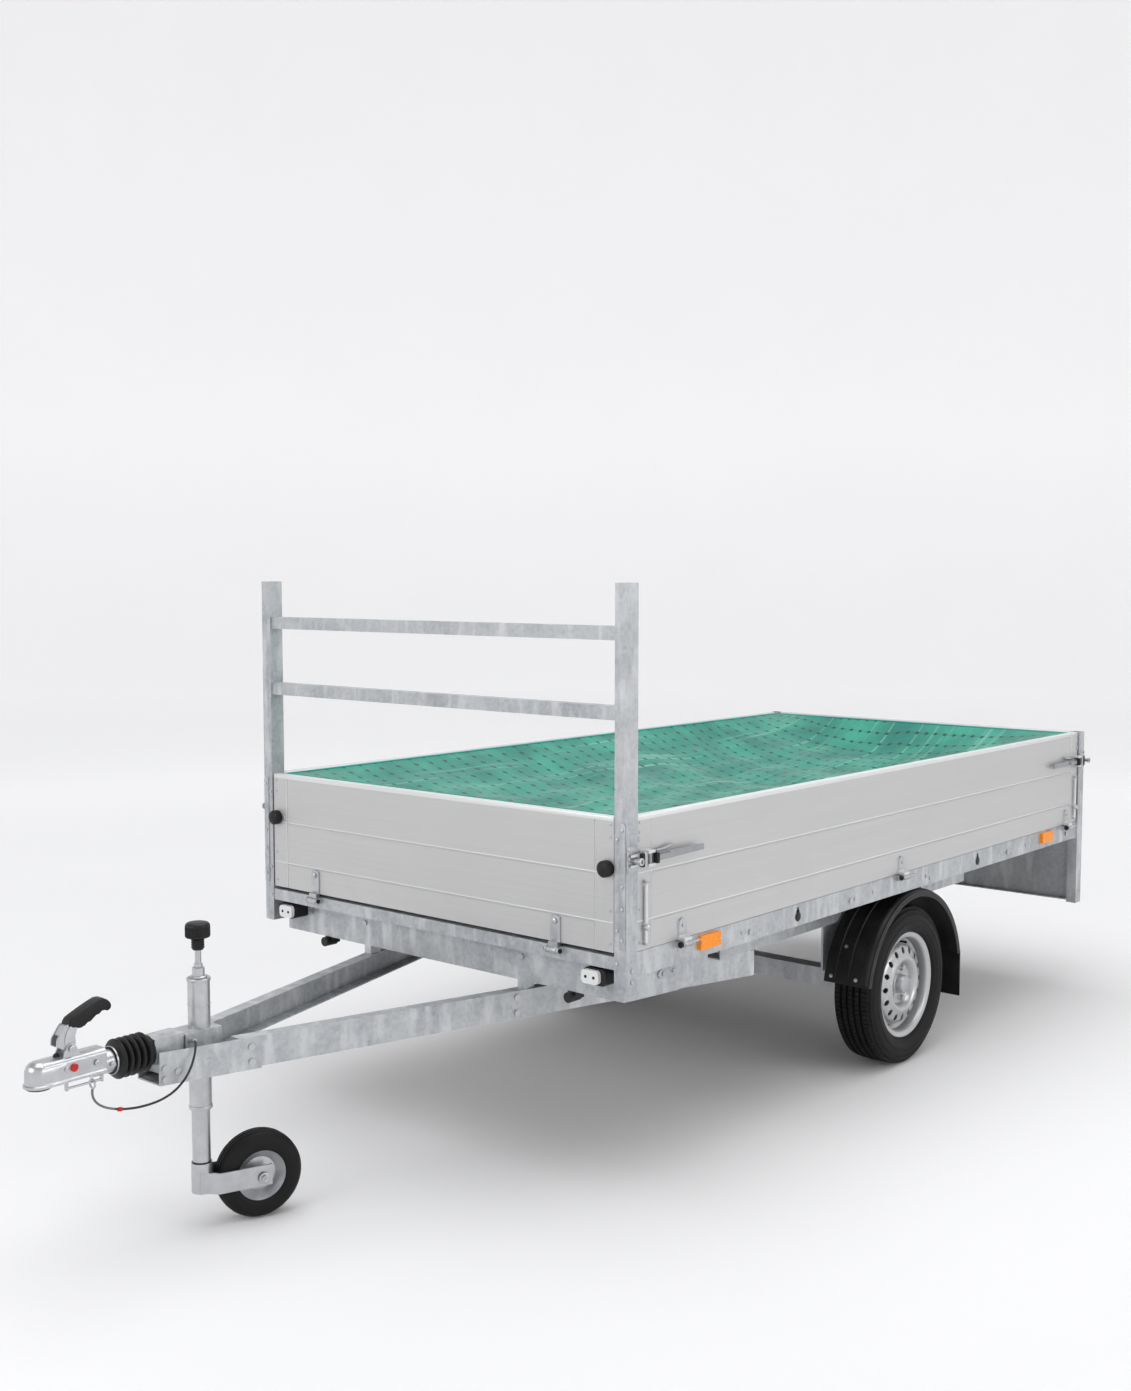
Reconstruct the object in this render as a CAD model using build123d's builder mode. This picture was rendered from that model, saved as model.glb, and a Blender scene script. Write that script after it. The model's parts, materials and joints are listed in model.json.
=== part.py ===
from build123d import *
import math
import os

# Tow-behind flatbed cart: single braked axle, drop sides, ladder rack, overrun coupling.
# +X is the cart's left side, -Y its coupling end, +Z up, the ground is Z = 0. Millimetres.
# Distances called "back" are measured rearwards from the front face of the bed.

# --- bed ------------------------------------------------------------------------------
BED_WIDTH = 1500
BED_LENGTH = 3050
NOSE_REACH = 1311          # coupling nose ahead of the bed
REAR_PROUD = 30            # tailgate hardware behind the bed
FRONT = NOSE_REACH - (NOSE_REACH + BED_LENGTH + REAR_PROUD) / 2

POST_X = 40
POST_Y = 50
POST_WALL = 3
POST_FOOT = 564            # underside of the front posts
REAR_POST_FOOT = 336
RACK_TOP = 1666
SPIGOT_DEPTH = 90
SPIGOT_CLEARANCE = 0.5
RUNG = 38
RUNG_TOPS = (1340, 1552)

PANEL_BOTTOM = 678
PANEL_HEIGHT = 366
PANEL_THICK = 25
PANEL_WALL = 2.5
PANEL_GAP = 4              # panel end to post
PANEL_INSET = 6            # panel face behind the post face
PLANK_GROOVES = (0.21, 0.57)
GROOVE_WIDTH = 4
GROOVE_DEPTH = 1.5
END_CAP = 66
BED_TOP = PANEL_BOTTOM + PANEL_HEIGHT
HALF_WIDTH = BED_WIDTH / 2
POST_INNER = HALF_WIDTH - POST_X

# --- chassis --------------------------------------------------------------------------
BEAM_BOTTOM = 608
DECK_BOTTOM = 676
DECK_THICK = 14
DECK_GAP = 4
SIDE_BEAM_X = 45
SIDE_BEAM_INSET = 8
TUBE_WALL = 3
FRONT_BEAM_BACK = 55
FRONT_BEAM_BOTTOM = 530
FRONT_BEAM_FLANGE = 45
SHEET = 4
RAIL_BOTTOM = 632
RAIL_TOP = 668
CROSS_WIDTH = 40
CROSS_COUNT = 5
CHEEK_LENGTH = 390
CHEEK_DROP = 92
LOCATING_HOLES = (866, BED_LENGTH - 949)
LOCATING_HOLE_R = 9

# --- drawbar --------------------------------------------------------------------------
LEG_TOP = 503
LEG_HEIGHT = 80
LEG_FLANGE = 40
LEG_HALF_AT_BED = 322      # outer face of a leg below the bed front
LEG_TAPER = 0.286          # sideways drift for each millimetre of length
LEG_START = -770
LEG_END = 880
YOKE_START = -975
YOKE_END = -716
LEG_BOTTOM = LEG_TOP - LEG_HEIGHT
BOLT_R = 5
BOLT_HEAD_R = 8.5
BOLT_HEAD = 6

# --- axle and wheels ------------------------------------------------------------------
WHEEL_BACK = BED_LENGTH / 2 + 72
TYRE_R = 273.5
TYRE_WIDTH = 158
BEAD_R = 165
FLANGE_R = 182.5
RIM_WIDTH = 126
WHEEL_X = HALF_WIDTH - 85   # middle plane of a wheel
VENT_COUNT = 16
VENT_R = 7
VENT_CIRCLE_R = 126
WHEEL_BOLTS = 5
WHEEL_BOLT_CIRCLE_R = 56
HUB_R = 38
DRUM_R = 105
DRUM_WALL = 10
PIVOT_BACK = WHEEL_BACK - 157
PIVOT_Z = 300
PIVOT_R = 20
STUB_R = 12.5
AXLE_TUBE = 64
AXLE_HALF = WHEEL_X - 107
ARM_THICK = 20
RAIL_X = HALF_WIDTH - 182
RAIL_WIDTH = 45
MUDGUARD_R = 332
MUDGUARD_BACK = WHEEL_BACK + 28
MUDGUARD_Z = 262
MUDGUARD_WALL = 4
MUDGUARD_INNER_X = HALF_WIDTH - 170
MUDGUARD_OUTER_X = HALF_WIDTH + 2
FLAP_BOTTOM = 165
RUN_FIT = 0.05             # radial clearance of a shaft in its bore

# --- coupling -------------------------------------------------------------------------
SHAFT_Z = 502
SHAFT_R = 25
SHAFT_END = -946           # clear of the jockey bracket with the coupling pushed in
OVERRUN_TRAVEL = 55
SOCKET_R = 25.15
SOCKET_Z = 510
SOCKET_BACK = -1278
HEAD_WALL = 8
HEAD_BOTTOM = 487
HEAD_TOP = 545
HEAD_REAR = -1112
COLLAR_REAR = -1080
HANDLE_BACK = -1201
HANDLE_Z = 563
HANDLE_PIN_R = 5
BELLOWS_FRONT = -1086
BELLOWS_REAR = -977
BELLOWS_R = 50
BELLOWS_INNER_R = 30
BELLOWS_RIBS = 5
GUIDE_Z = 461.5
GUIDE_R = 3

# --- jockey wheel ---------------------------------------------------------------------
JOCKEY_BACK = -820
JOCKEY_TUBE_R = 28.5
JOCKEY_TUBE_WALL = 2.5
JOCKEY_TUBE_BOTTOM = 313
JOCKEY_TUBE_TOP = 656
JOCKEY_INNER_R = 23.5
JOCKEY_INNER_BOTTOM = 172
JOCKEY_INNER_TOP = 466
SPINDLE_R = 8
KNOB_TOP = 801
KNOB_R = 32
FORK_TURN = 19.7           # degrees that the fork stands turned at rest
FORK_TRAIL = 150
FORK_PLATE = 5
FORK_HALF = 47
FORK_PIN_R = 10
JOCKEY_R = 115
JOCKEY_WIDTH = 75
JOCKEY_RIM_R = 66
BRACKET_HALF = 37.5
BRACKET_FRONT = -888
BRACKET_REAR = -777
BRACKET_BOTTOM = 470
BRACKET_TOP = 528

# --- hinges and latches ---------------------------------------------------------------
HINGE_PIN_R = 4
HINGE_BARREL_R = 9
HINGE_Z = 668
HINGE_OUT = 14             # side and tail hinge pins beyond the post face
FRONT_HINGE_Y = -12
FRONT_HINGE_Z = 658
BARREL_LENGTH = 34
LUG = 6
LUG_GAP = 2
SIDE_HINGES = (257, BED_LENGTH / 2 - 12, BED_LENGTH - 163)
FRONT_HINGE_X = HALF_WIDTH - 247
LATCH_Z = 930
TAIL_LATCH_Z = 1008       # clears the light board when the tailgate hangs down
LATCH_PIN_R = 7
LATCH_PIN_LENGTH = 28
LEVER_PIVOT = 62           # from the post pin to the lever's pivot
LEVER_LENGTH = 245
ROD_FROM_POST = 36


def back(distance):
    """Y of a point that lies a distance behind the bed's front face."""
    return FRONT + distance


def leg_x(distance):
    """Outer face of a drawbar leg, measured from the middle of the cart."""
    return LEG_HALF_AT_BED + LEG_TAPER * distance


def box(x0, x1, y0, y1, z0, z1):
    """A block between two corners, inside the active part."""
    with Locations(((x0 + x1) / 2, (y0 + y1) / 2, (z0 + z1) / 2)):
        Box(x1 - x0, y1 - y0, z1 - z0)


def cut_box(x0, x1, y0, y1, z0, z1):
    """Take a block between two corners out of the active part."""
    with Locations(((x0 + x1) / 2, (y0 + y1) / 2, (z0 + z1) / 2)):
        Box(x1 - x0, y1 - y0, z1 - z0, mode=Mode.SUBTRACT)


def rod(origin, direction, radius, length, mode=Mode.ADD):
    """A round bar from a point along a direction, inside the active part."""
    with BuildSketch(Plane(origin=origin, z_dir=direction)) as outline:
        Circle(radius)
    extrude(outline.sketch, amount=length, mode=mode)


def prism(plane, points, depth, mode=Mode.ADD):
    """A straight-sided outline on a plane, extruded by a depth."""
    with BuildSketch(plane) as outline:
        with BuildLine():
            Polyline(*points, close=True)
        make_face()
    extrude(outline.sketch, amount=depth, mode=mode)


def plan_plane(height):
    """A horizontal plane whose origin is on the bed's front face."""
    return Plane(origin=(0, FRONT, height), x_dir=(1, 0, 0), z_dir=(0, 0, 1))


def side_plane(x):
    """A plane across X whose local axes are distance back and height."""
    return Plane(origin=(x, FRONT, 0), x_dir=(0, 1, 0), z_dir=(1, 0, 0))


os.makedirs("parts", exist_ok=True)


def save(part, name):
    """Label a finished piece and write it as its own STEP file."""
    part.label = name
    export_step(part, f"parts/{name}.step")


# --- chassis beams --------------------------------------------------------------------
beam_outer = HALF_WIDTH - SIDE_BEAM_INSET
beam_inner = beam_outer - SIDE_BEAM_X
beam_front = back(FRONT_BEAM_BACK)
beam_rear = back(BED_LENGTH - POST_Y)

with BuildPart() as side_beams:
    box(beam_inner, beam_outer, beam_front, beam_rear, BEAM_BOTTOM, DECK_BOTTOM)
    cut_box(beam_inner + TUBE_WALL, beam_outer - TUBE_WALL, beam_front, beam_rear,
            BEAM_BOTTOM + TUBE_WALL, DECK_BOTTOM - TUBE_WALL)
    for place in LOCATING_HOLES:
        hole_z = (BEAM_BOTTOM + DECK_BOTTOM) / 2 + 10
        rod((beam_outer - TUBE_WALL - 1, back(place), hole_z), (1, 0, 0), LOCATING_HOLE_R,
            TUBE_WALL + 2, Mode.SUBTRACT)
    # cheek plate that joins the side beam to the front beam
    cheek = [(FRONT_BEAM_BACK, BEAM_BOTTOM), (FRONT_BEAM_BACK, FRONT_BEAM_BOTTOM),
             (FRONT_BEAM_BACK + CHEEK_LENGTH * 0.62, BEAM_BOTTOM - CHEEK_DROP),
             (FRONT_BEAM_BACK + CHEEK_LENGTH, BEAM_BOTTOM - CHEEK_DROP + 12),
             (FRONT_BEAM_BACK + CHEEK_LENGTH, BEAM_BOTTOM)]
    prism(side_plane(beam_inner), cheek, SHEET)
    mirror(about=Plane.YZ)
save(side_beams.part, "side_beams")

front_beam_y = back(FRONT_BEAM_BACK)
with BuildPart() as front_beam:
    box(-beam_inner, beam_inner, front_beam_y, front_beam_y + FRONT_BEAM_FLANGE,
        FRONT_BEAM_BOTTOM, DECK_BOTTOM)
    cut_box(-beam_inner, beam_inner, front_beam_y + SHEET, front_beam_y + FRONT_BEAM_FLANGE,
            FRONT_BEAM_BOTTOM + SHEET, DECK_BOTTOM - SHEET)
    for side in (-1, 1):
        # spacer between the beam and the drawbar leg below it
        middle = side * (leg_x(FRONT_BEAM_BACK + FRONT_BEAM_FLANGE / 2) - LEG_FLANGE / 2)
        box(middle - 14, middle + 14, front_beam_y + 2, front_beam_y + FRONT_BEAM_FLANGE - 2,
            LEG_TOP, FRONT_BEAM_BOTTOM)
save(front_beam.part, "front_beam")

rear_beam_y = beam_rear + TUBE_WALL
with BuildPart() as cross_members:
    cross_start = FRONT_BEAM_BACK + FRONT_BEAM_FLANGE + 450
    cross_pitch = (BED_LENGTH - POST_Y - 120 - cross_start) / (CROSS_COUNT - 1)
    for index in range(CROSS_COUNT):
        cross_y = back(cross_start + index * cross_pitch)
        box(-beam_inner, beam_inner, cross_y, cross_y + CROSS_WIDTH, BEAM_BOTTOM + 8, DECK_BOTTOM)
        cut_box(-beam_inner, beam_inner, cross_y + SHEET, cross_y + CROSS_WIDTH,
                BEAM_BOTTOM + 8 + SHEET, DECK_BOTTOM - SHEET)
    # rear beam between the rear posts
    box(-POST_INNER, POST_INNER, rear_beam_y, rear_beam_y + CROSS_WIDTH, BEAM_BOTTOM, DECK_BOTTOM)
    cut_box(-POST_INNER, POST_INNER, rear_beam_y + TUBE_WALL, rear_beam_y + CROSS_WIDTH - TUBE_WALL,
            BEAM_BOTTOM + TUBE_WALL, DECK_BOTTOM - TUBE_WALL)
save(cross_members.part, "cross_members")

rail_y = back(2)
with BuildPart() as front_hinge_rail:
    box(-POST_INNER, POST_INNER, rail_y, front_beam_y, RAIL_BOTTOM, RAIL_TOP)
    cut_box(-POST_INNER, POST_INNER, rail_y + TUBE_WALL, front_beam_y - TUBE_WALL,
            RAIL_BOTTOM + TUBE_WALL, RAIL_TOP - TUBE_WALL)
    for side in (-1, 1):
        middle = side * FRONT_HINGE_X
        lug_start = BARREL_LENGTH / 2 + LUG_GAP
        for direction in (-1, 1):
            lug_x = middle + direction * (lug_start + LUG / 2)
            box(lug_x - LUG / 2, lug_x + LUG / 2, back(FRONT_HINGE_Y), rail_y,
                FRONT_HINGE_Z - HINGE_BARREL_R, RAIL_TOP - 1)
            rod((lug_x - LUG / 2, back(FRONT_HINGE_Y), FRONT_HINGE_Z), (1, 0, 0),
                HINGE_BARREL_R, LUG)
        pin_half = lug_start + LUG
        rod((middle - pin_half, back(FRONT_HINGE_Y), FRONT_HINGE_Z), (1, 0, 0),
            HINGE_PIN_R, 2 * pin_half)
save(front_hinge_rail.part, "front_hinge_rail")

panel_inner_x = HALF_WIDTH - PANEL_INSET - PANEL_THICK
deck_half = panel_inner_x - DECK_GAP
front_panel_y = back(3)
tail_outer_y = back(BED_LENGTH - PANEL_INSET)
deck_front = front_panel_y + PANEL_THICK + DECK_GAP
deck_rear = tail_outer_y - PANEL_THICK - DECK_GAP
with BuildPart() as deck_board:
    box(-deck_half, deck_half, deck_front, deck_rear, DECK_BOTTOM, DECK_BOTTOM + DECK_THICK)
    # corners cleared for the posts
    for side in (-1, 1):
        for corner_y in (deck_front, beam_rear):
            inner = side * (POST_INNER - DECK_GAP)
            outer = side * (deck_half + 1)
            near, far = sorted((inner, outer))
            cut_box(near, far, corner_y - 1, corner_y + POST_Y, DECK_BOTTOM - 1,
                    DECK_BOTTOM + DECK_THICK + 1)
save(deck_board.part, "deck_board")

# --- posts and rack -------------------------------------------------------------------
with BuildPart() as corner_posts:
    for start, foot in ((0, POST_FOOT), (BED_LENGTH - POST_Y, REAR_POST_FOOT)):
        box(POST_INNER, HALF_WIDTH, back(start), back(start + POST_Y), foot, BED_TOP)
        cut_box(POST_INNER + POST_WALL, HALF_WIDTH - POST_WALL, back(start + POST_WALL),
                back(start + POST_Y - POST_WALL), foot, BED_TOP)
    mirror(about=Plane.YZ)
save(corner_posts.part, "corner_posts")

with BuildPart() as ladder_rack:
    box(POST_INNER, HALF_WIDTH, back(0), back(POST_Y), BED_TOP, RACK_TOP)
    cut_box(POST_INNER + POST_WALL, HALF_WIDTH - POST_WALL, back(POST_WALL),
            back(POST_Y - POST_WALL), BED_TOP + POST_WALL, RACK_TOP - POST_WALL)
    inset = POST_WALL + SPIGOT_CLEARANCE
    box(POST_INNER + inset, HALF_WIDTH - inset, back(inset), back(POST_Y - inset),
        BED_TOP - SPIGOT_DEPTH, BED_TOP)
    mirror(about=Plane.YZ)
    for top in RUNG_TOPS:
        rung_y = back(POST_Y / 2 - RUNG / 2)
        box(-POST_INNER, POST_INNER, rung_y, rung_y + RUNG, top - RUNG, top)
        cut_box(-POST_INNER + 1, POST_INNER - 1, rung_y + TUBE_WALL, rung_y + RUNG - TUBE_WALL,
                top - RUNG + TUBE_WALL, top - TUBE_WALL)
save(ladder_rack.part, "ladder_rack")

# --- drawbar --------------------------------------------------------------------------


def leg_outline(start, end, near, far):
    """Plan of a strip that follows a leg, between two offsets inwards from its face."""
    return [(leg_x(start) - near, start), (leg_x(end) - near, end),
            (leg_x(end) - far, end), (leg_x(start) - far, start)]


with BuildPart() as drawbar_legs:
    prism(plan_plane(LEG_BOTTOM), leg_outline(LEG_START, LEG_END, 0, LEG_FLANGE), LEG_HEIGHT)
    prism(plan_plane(LEG_BOTTOM + SHEET), leg_outline(LEG_START - 1, LEG_END + 1, SHEET, 60),
          LEG_HEIGHT - 2 * SHEET, Mode.SUBTRACT)
    mirror(about=Plane.YZ)
save(drawbar_legs.part, "drawbar_legs")

with BuildPart() as drawbar_yoke:
    outline = [(leg_x(YOKE_START) + SHEET, YOKE_START), (leg_x(YOKE_END) + SHEET, YOKE_END),
               (-leg_x(YOKE_END) - SHEET, YOKE_END), (-leg_x(YOKE_START) - SHEET, YOKE_START)]
    hollow = [(leg_x(YOKE_START - 1), YOKE_START - 1), (leg_x(YOKE_END + 1), YOKE_END + 1),
              (-leg_x(YOKE_END + 1), YOKE_END + 1), (-leg_x(YOKE_START - 1), YOKE_START - 1)]
    prism(plan_plane(LEG_BOTTOM - SHEET), outline, LEG_HEIGHT + SHEET)
    prism(plan_plane(LEG_BOTTOM), hollow, LEG_HEIGHT + 1, Mode.SUBTRACT)
    rod((0, back(JOCKEY_BACK), LEG_BOTTOM - SHEET - 1), (0, 0, 1), JOCKEY_TUBE_R + RUN_FIT,
        SHEET + 2, Mode.SUBTRACT)
save(drawbar_yoke.part, "drawbar_yoke")

housing_front = -976
housing_rear = -888
with BuildPart() as overrun_housing:
    box(-30, 30, back(housing_front), back(housing_rear), SHAFT_Z - 32, SHAFT_Z + 32)
    mount = [(leg_x(-950), -950), (leg_x(-900), -900), (-leg_x(-900), -900), (-leg_x(-950), -950)]
    prism(plan_plane(LEG_BOTTOM + 14), mount, 52)
    rod((0, back(housing_front - 1), SHAFT_Z), (0, 1, 0), SHAFT_R + RUN_FIT,
        housing_rear - housing_front + 2, Mode.SUBTRACT)
save(overrun_housing.part, "overrun_housing")

with BuildPart() as jockey_bracket:
    box(-BRACKET_HALF, BRACKET_HALF, back(BRACKET_FRONT), back(BRACKET_REAR),
        BRACKET_BOTTOM, BRACKET_TOP)
    cut_box(-BRACKET_HALF + SHEET, BRACKET_HALF - SHEET, back(BRACKET_FRONT), back(BRACKET_REAR),
            BRACKET_BOTTOM + SHEET, BRACKET_TOP - SHEET)
    base_front = BRACKET_FRONT + 6
    base_rear = BRACKET_REAR - 6
    base = [(leg_x(base_front), base_front), (leg_x(base_rear), base_rear),
            (-leg_x(base_rear), base_rear), (-leg_x(base_front), base_front)]
    prism(plan_plane(BRACKET_BOTTOM - 2 * SHEET), base, 2 * SHEET)
    rod((0, back(JOCKEY_BACK), BRACKET_BOTTOM - 3 * SHEET), (0, 0, 1), JOCKEY_TUBE_R,
        BRACKET_TOP - BRACKET_BOTTOM + 4 * SHEET, Mode.SUBTRACT)
    # eye that the breakaway cable ends in
    rod((BRACKET_HALF - 1, back(-874), 512), (1, 0, 0), 6, 9)
save(jockey_bracket.part, "jockey_bracket")

with BuildPart() as frame_bolts:
    for distance, height in ((-962, 462), (-962, 434), (-743, 480), (-743, 440),
                             (30, 485), (30, 440), (-930, 450)):
        skin = SHEET if distance < YOKE_END else 0
        rod((leg_x(distance) + skin, back(distance), height),
            (1, -LEG_TAPER, 0), BOLT_HEAD_R, BOLT_HEAD)
    for place in (600, 1180, BED_LENGTH - 700, BED_LENGTH - 150):
        rod((beam_outer, back(place), BEAM_BOTTOM + 28), (1, 0, 0), BOLT_HEAD_R, BOLT_HEAD)
    for place in (HALF_WIDTH - 420, HALF_WIDTH - 170):
        rod((place, front_beam_y, 600), (0, -1, 0), BOLT_HEAD_R - 1, BOLT_HEAD)
    mirror(about=Plane.YZ)
save(frame_bolts.part, "frame_bolts")

# --- axle rails and axle --------------------------------------------------------------
rail_front = back(WHEEL_BACK - 897)
rail_rear = back(WHEEL_BACK + 753)
with BuildPart() as axle_rails:
    box(RAIL_X - RAIL_WIDTH, RAIL_X, rail_front, rail_rear, LEG_TOP, BEAM_BOTTOM + 8)
    cut_box(RAIL_X - RAIL_WIDTH, RAIL_X - SHEET, rail_front, rail_rear, LEG_TOP + SHEET,
            BEAM_BOTTOM + 8 - SHEET)
    box(RAIL_X - RAIL_WIDTH, RAIL_X - RAIL_WIDTH + 8, back(PIVOT_BACK - 70), back(PIVOT_BACK + 70),
        PIVOT_Z + AXLE_TUBE / 2, LEG_TOP)
    mirror(about=Plane.YZ)
save(axle_rails.part, "axle_rails")

with BuildPart() as axle_tube:
    box(-AXLE_HALF, AXLE_HALF, back(PIVOT_BACK) - AXLE_TUBE / 2, back(PIVOT_BACK) + AXLE_TUBE / 2,
        PIVOT_Z - AXLE_TUBE / 2, PIVOT_Z + AXLE_TUBE / 2)
    rod((-AXLE_HALF - 1, back(PIVOT_BACK), PIVOT_Z), (1, 0, 0), PIVOT_R + RUN_FIT,
        2 * AXLE_HALF + 2, Mode.SUBTRACT)
save(axle_tube.part, "axle_tube")

wheel_z = TYRE_R
arm_inner = AXLE_HALF + 1
arm_outer = arm_inner + ARM_THICK
for side, name in ((1, "left"), (-1, "right")):
    arm_start = side * arm_inner if side > 0 else -arm_outer
    with BuildPart() as swing_arm:
        with BuildSketch(side_plane(arm_start)):
            with Locations((PIVOT_BACK, PIVOT_Z)):
                Circle(34)
            with Locations((WHEEL_BACK, wheel_z)):
                Circle(28)
            make_hull()
        extrude(amount=ARM_THICK)
        rod((side * (AXLE_HALF - 88), back(PIVOT_BACK), PIVOT_Z), (side, 0, 0), PIVOT_R,
            90 + ARM_THICK / 2)
        rod((side * arm_outer, back(WHEEL_BACK), wheel_z), (side, 0, 0), STUB_R, 92)
    save(swing_arm.part, f"swing_arm_{name}")

# --- wheels ---------------------------------------------------------------------------


def wheel_plane(side):
    """Plane through a wheel's axis: local X is outwards along the axle, local Y is up."""
    return Plane(origin=(side * WHEEL_X, back(WHEEL_BACK), wheel_z), x_dir=(side, 0, 0),
                 z_dir=(0, -1, 0))


rim_half = RIM_WIDTH / 2
tyre_half = TYRE_WIDTH / 2
disc_x = 30
for side, name in ((1, "left"), (-1, "right")):
    plane = wheel_plane(side)
    axis = Axis((side * WHEEL_X, back(WHEEL_BACK), wheel_z), (1, 0, 0))
    tread = tyre_half - 17
    with BuildPart() as tyre:
        with BuildSketch(plane):
            with BuildLine():
                Polyline((-rim_half + 5, BEAD_R), (-rim_half + 5, FLANGE_R + 1),
                         (-rim_half - 8, FLANGE_R + 6))
                ThreePointArc((-rim_half - 8, FLANGE_R + 6), (-tyre_half, 222), (-tread, TYRE_R - 4))
                ThreePointArc((-tread, TYRE_R - 4), (0, TYRE_R), (tread, TYRE_R - 4))
                ThreePointArc((tread, TYRE_R - 4), (tyre_half, 222), (rim_half + 8, FLANGE_R + 6))
                Polyline((rim_half + 8, FLANGE_R + 6), (rim_half - 5, FLANGE_R + 1),
                         (rim_half - 5, BEAD_R),
                         (rim_half - 16, BEAD_R), (rim_half - 16, FLANGE_R + 6), (tread, TYRE_R - 16),
                         (-tread, TYRE_R - 16), (-rim_half + 16, FLANGE_R + 6),
                         (-rim_half + 16, BEAD_R), (-rim_half + 5, BEAD_R))
            make_face()
        revolve(axis=axis)
    save(tyre.part, f"tyre_{name}")

    with BuildPart() as rim:
        with BuildSketch(plane):
            with BuildLine():
                Polyline((-rim_half, FLANGE_R), (-rim_half, BEAD_R - 4), (-20, BEAD_R - 4),
                         (-12, BEAD_R - 16),
                         (12, BEAD_R - 16), (20, BEAD_R - 8), (disc_x, BEAD_R - 12), (disc_x - 4, 150),
                         (disc_x + 8, 118), (disc_x - 2, 88), (disc_x - 2, HUB_R - 8),
                         (disc_x + 3, HUB_R - 8), (disc_x + 3, 86), (disc_x + 13, 118),
                         (disc_x + 2, 148), (disc_x + 6, BEAD_R - 4), (rim_half, BEAD_R - 4),
                         (rim_half, FLANGE_R), (rim_half - 4, FLANGE_R), (rim_half - 4, BEAD_R),
                         (16, BEAD_R), (9, BEAD_R - 12), (-9, BEAD_R - 12), (-16, BEAD_R),
                         (-rim_half + 4, BEAD_R), (-rim_half + 4, FLANGE_R), close=True)
            make_face()
        revolve(axis=axis)
        vent_plane = Plane(origin=(side * WHEEL_X, back(WHEEL_BACK), wheel_z), x_dir=(0, 1, 0),
                           z_dir=(side, 0, 0))
        with BuildSketch(vent_plane.offset(disc_x - 12)):
            with PolarLocations(VENT_CIRCLE_R, VENT_COUNT):
                Circle(VENT_R)
        extrude(amount=34, mode=Mode.SUBTRACT)
        with BuildSketch(vent_plane.offset(disc_x - 6)):
            with PolarLocations(WHEEL_BOLT_CIRCLE_R, WHEEL_BOLTS):
                Circle(BOLT_R + 1)
        extrude(amount=14, mode=Mode.SUBTRACT)
    save(rim.part, f"wheel_rim_{name}")

    drum_start = arm_outer + 12 - WHEEL_X
    with BuildPart() as hub:
        with BuildSketch(vent_plane.offset(drum_start)):
            Circle(DRUM_R)
            Circle(DRUM_R - DRUM_WALL, mode=Mode.SUBTRACT)
            Circle(STUB_R + 12)
            Circle(STUB_R + RUN_FIT, mode=Mode.SUBTRACT)
        extrude(amount=disc_x - 2 - DRUM_WALL - drum_start)
        with BuildSketch(vent_plane.offset(disc_x - 2 - DRUM_WALL)):
            Circle(DRUM_R)
            Circle(STUB_R + RUN_FIT, mode=Mode.SUBTRACT)
        extrude(amount=DRUM_WALL)
        with BuildSketch(vent_plane.offset(disc_x - 2)):
            Circle(HUB_R - 8)
            Circle(STUB_R + RUN_FIT, mode=Mode.SUBTRACT)
        extrude(amount=16)
        with BuildSketch(vent_plane.offset(disc_x + 14)):
            Circle(HUB_R - 8)
        extrude(amount=16, taper=12)
        with BuildSketch(vent_plane.offset(disc_x - 2)):
            with PolarLocations(WHEEL_BOLT_CIRCLE_R, WHEEL_BOLTS):
                Circle(BOLT_R + 1)
        extrude(amount=5)
        with BuildSketch(vent_plane.offset(disc_x + 3)):
            with PolarLocations(WHEEL_BOLT_CIRCLE_R, WHEEL_BOLTS):
                RegularPolygon(10, 6)
        extrude(amount=11)
    save(hub.part, f"wheel_hub_{name}")

with BuildPart() as mudguards:
    guard_width = MUDGUARD_OUTER_X - MUDGUARD_INNER_X
    lip_depth = 16
    with BuildSketch(side_plane(MUDGUARD_INNER_X)):
        with Locations((MUDGUARD_BACK, MUDGUARD_Z)):
            Circle(MUDGUARD_R + MUDGUARD_WALL)
            Circle(MUDGUARD_R, mode=Mode.SUBTRACT)
            with Locations((0, -MUDGUARD_R)):
                Rectangle(3 * MUDGUARD_R, 2 * MUDGUARD_R + 120, mode=Mode.SUBTRACT)
    extrude(amount=guard_width)
    # rolled lip along the outer edge
    with BuildSketch(side_plane(MUDGUARD_OUTER_X - 6)):
        with Locations((MUDGUARD_BACK, MUDGUARD_Z)):
            Circle(MUDGUARD_R + MUDGUARD_WALL)
            Circle(MUDGUARD_R - lip_depth, mode=Mode.SUBTRACT)
            with Locations((0, -MUDGUARD_R)):
                Rectangle(3 * MUDGUARD_R, 2 * MUDGUARD_R + 120, mode=Mode.SUBTRACT)
    extrude(amount=6)
    # flap behind the wheel and the strut that carries the guard
    flap_y = back(MUDGUARD_BACK) + MUDGUARD_R - 5
    box(MUDGUARD_INNER_X, MUDGUARD_OUTER_X, flap_y, flap_y + MUDGUARD_WALL, FLAP_BOTTOM,
        MUDGUARD_Z + 66)
    box(MUDGUARD_INNER_X + 30, beam_outer - 10, back(MUDGUARD_BACK) - 60,
        back(MUDGUARD_BACK) + 60, MUDGUARD_Z + MUDGUARD_R - 3, BEAM_BOTTOM)
    mirror(about=Plane.YZ)
save(mudguards.part, "mudguards")

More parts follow.
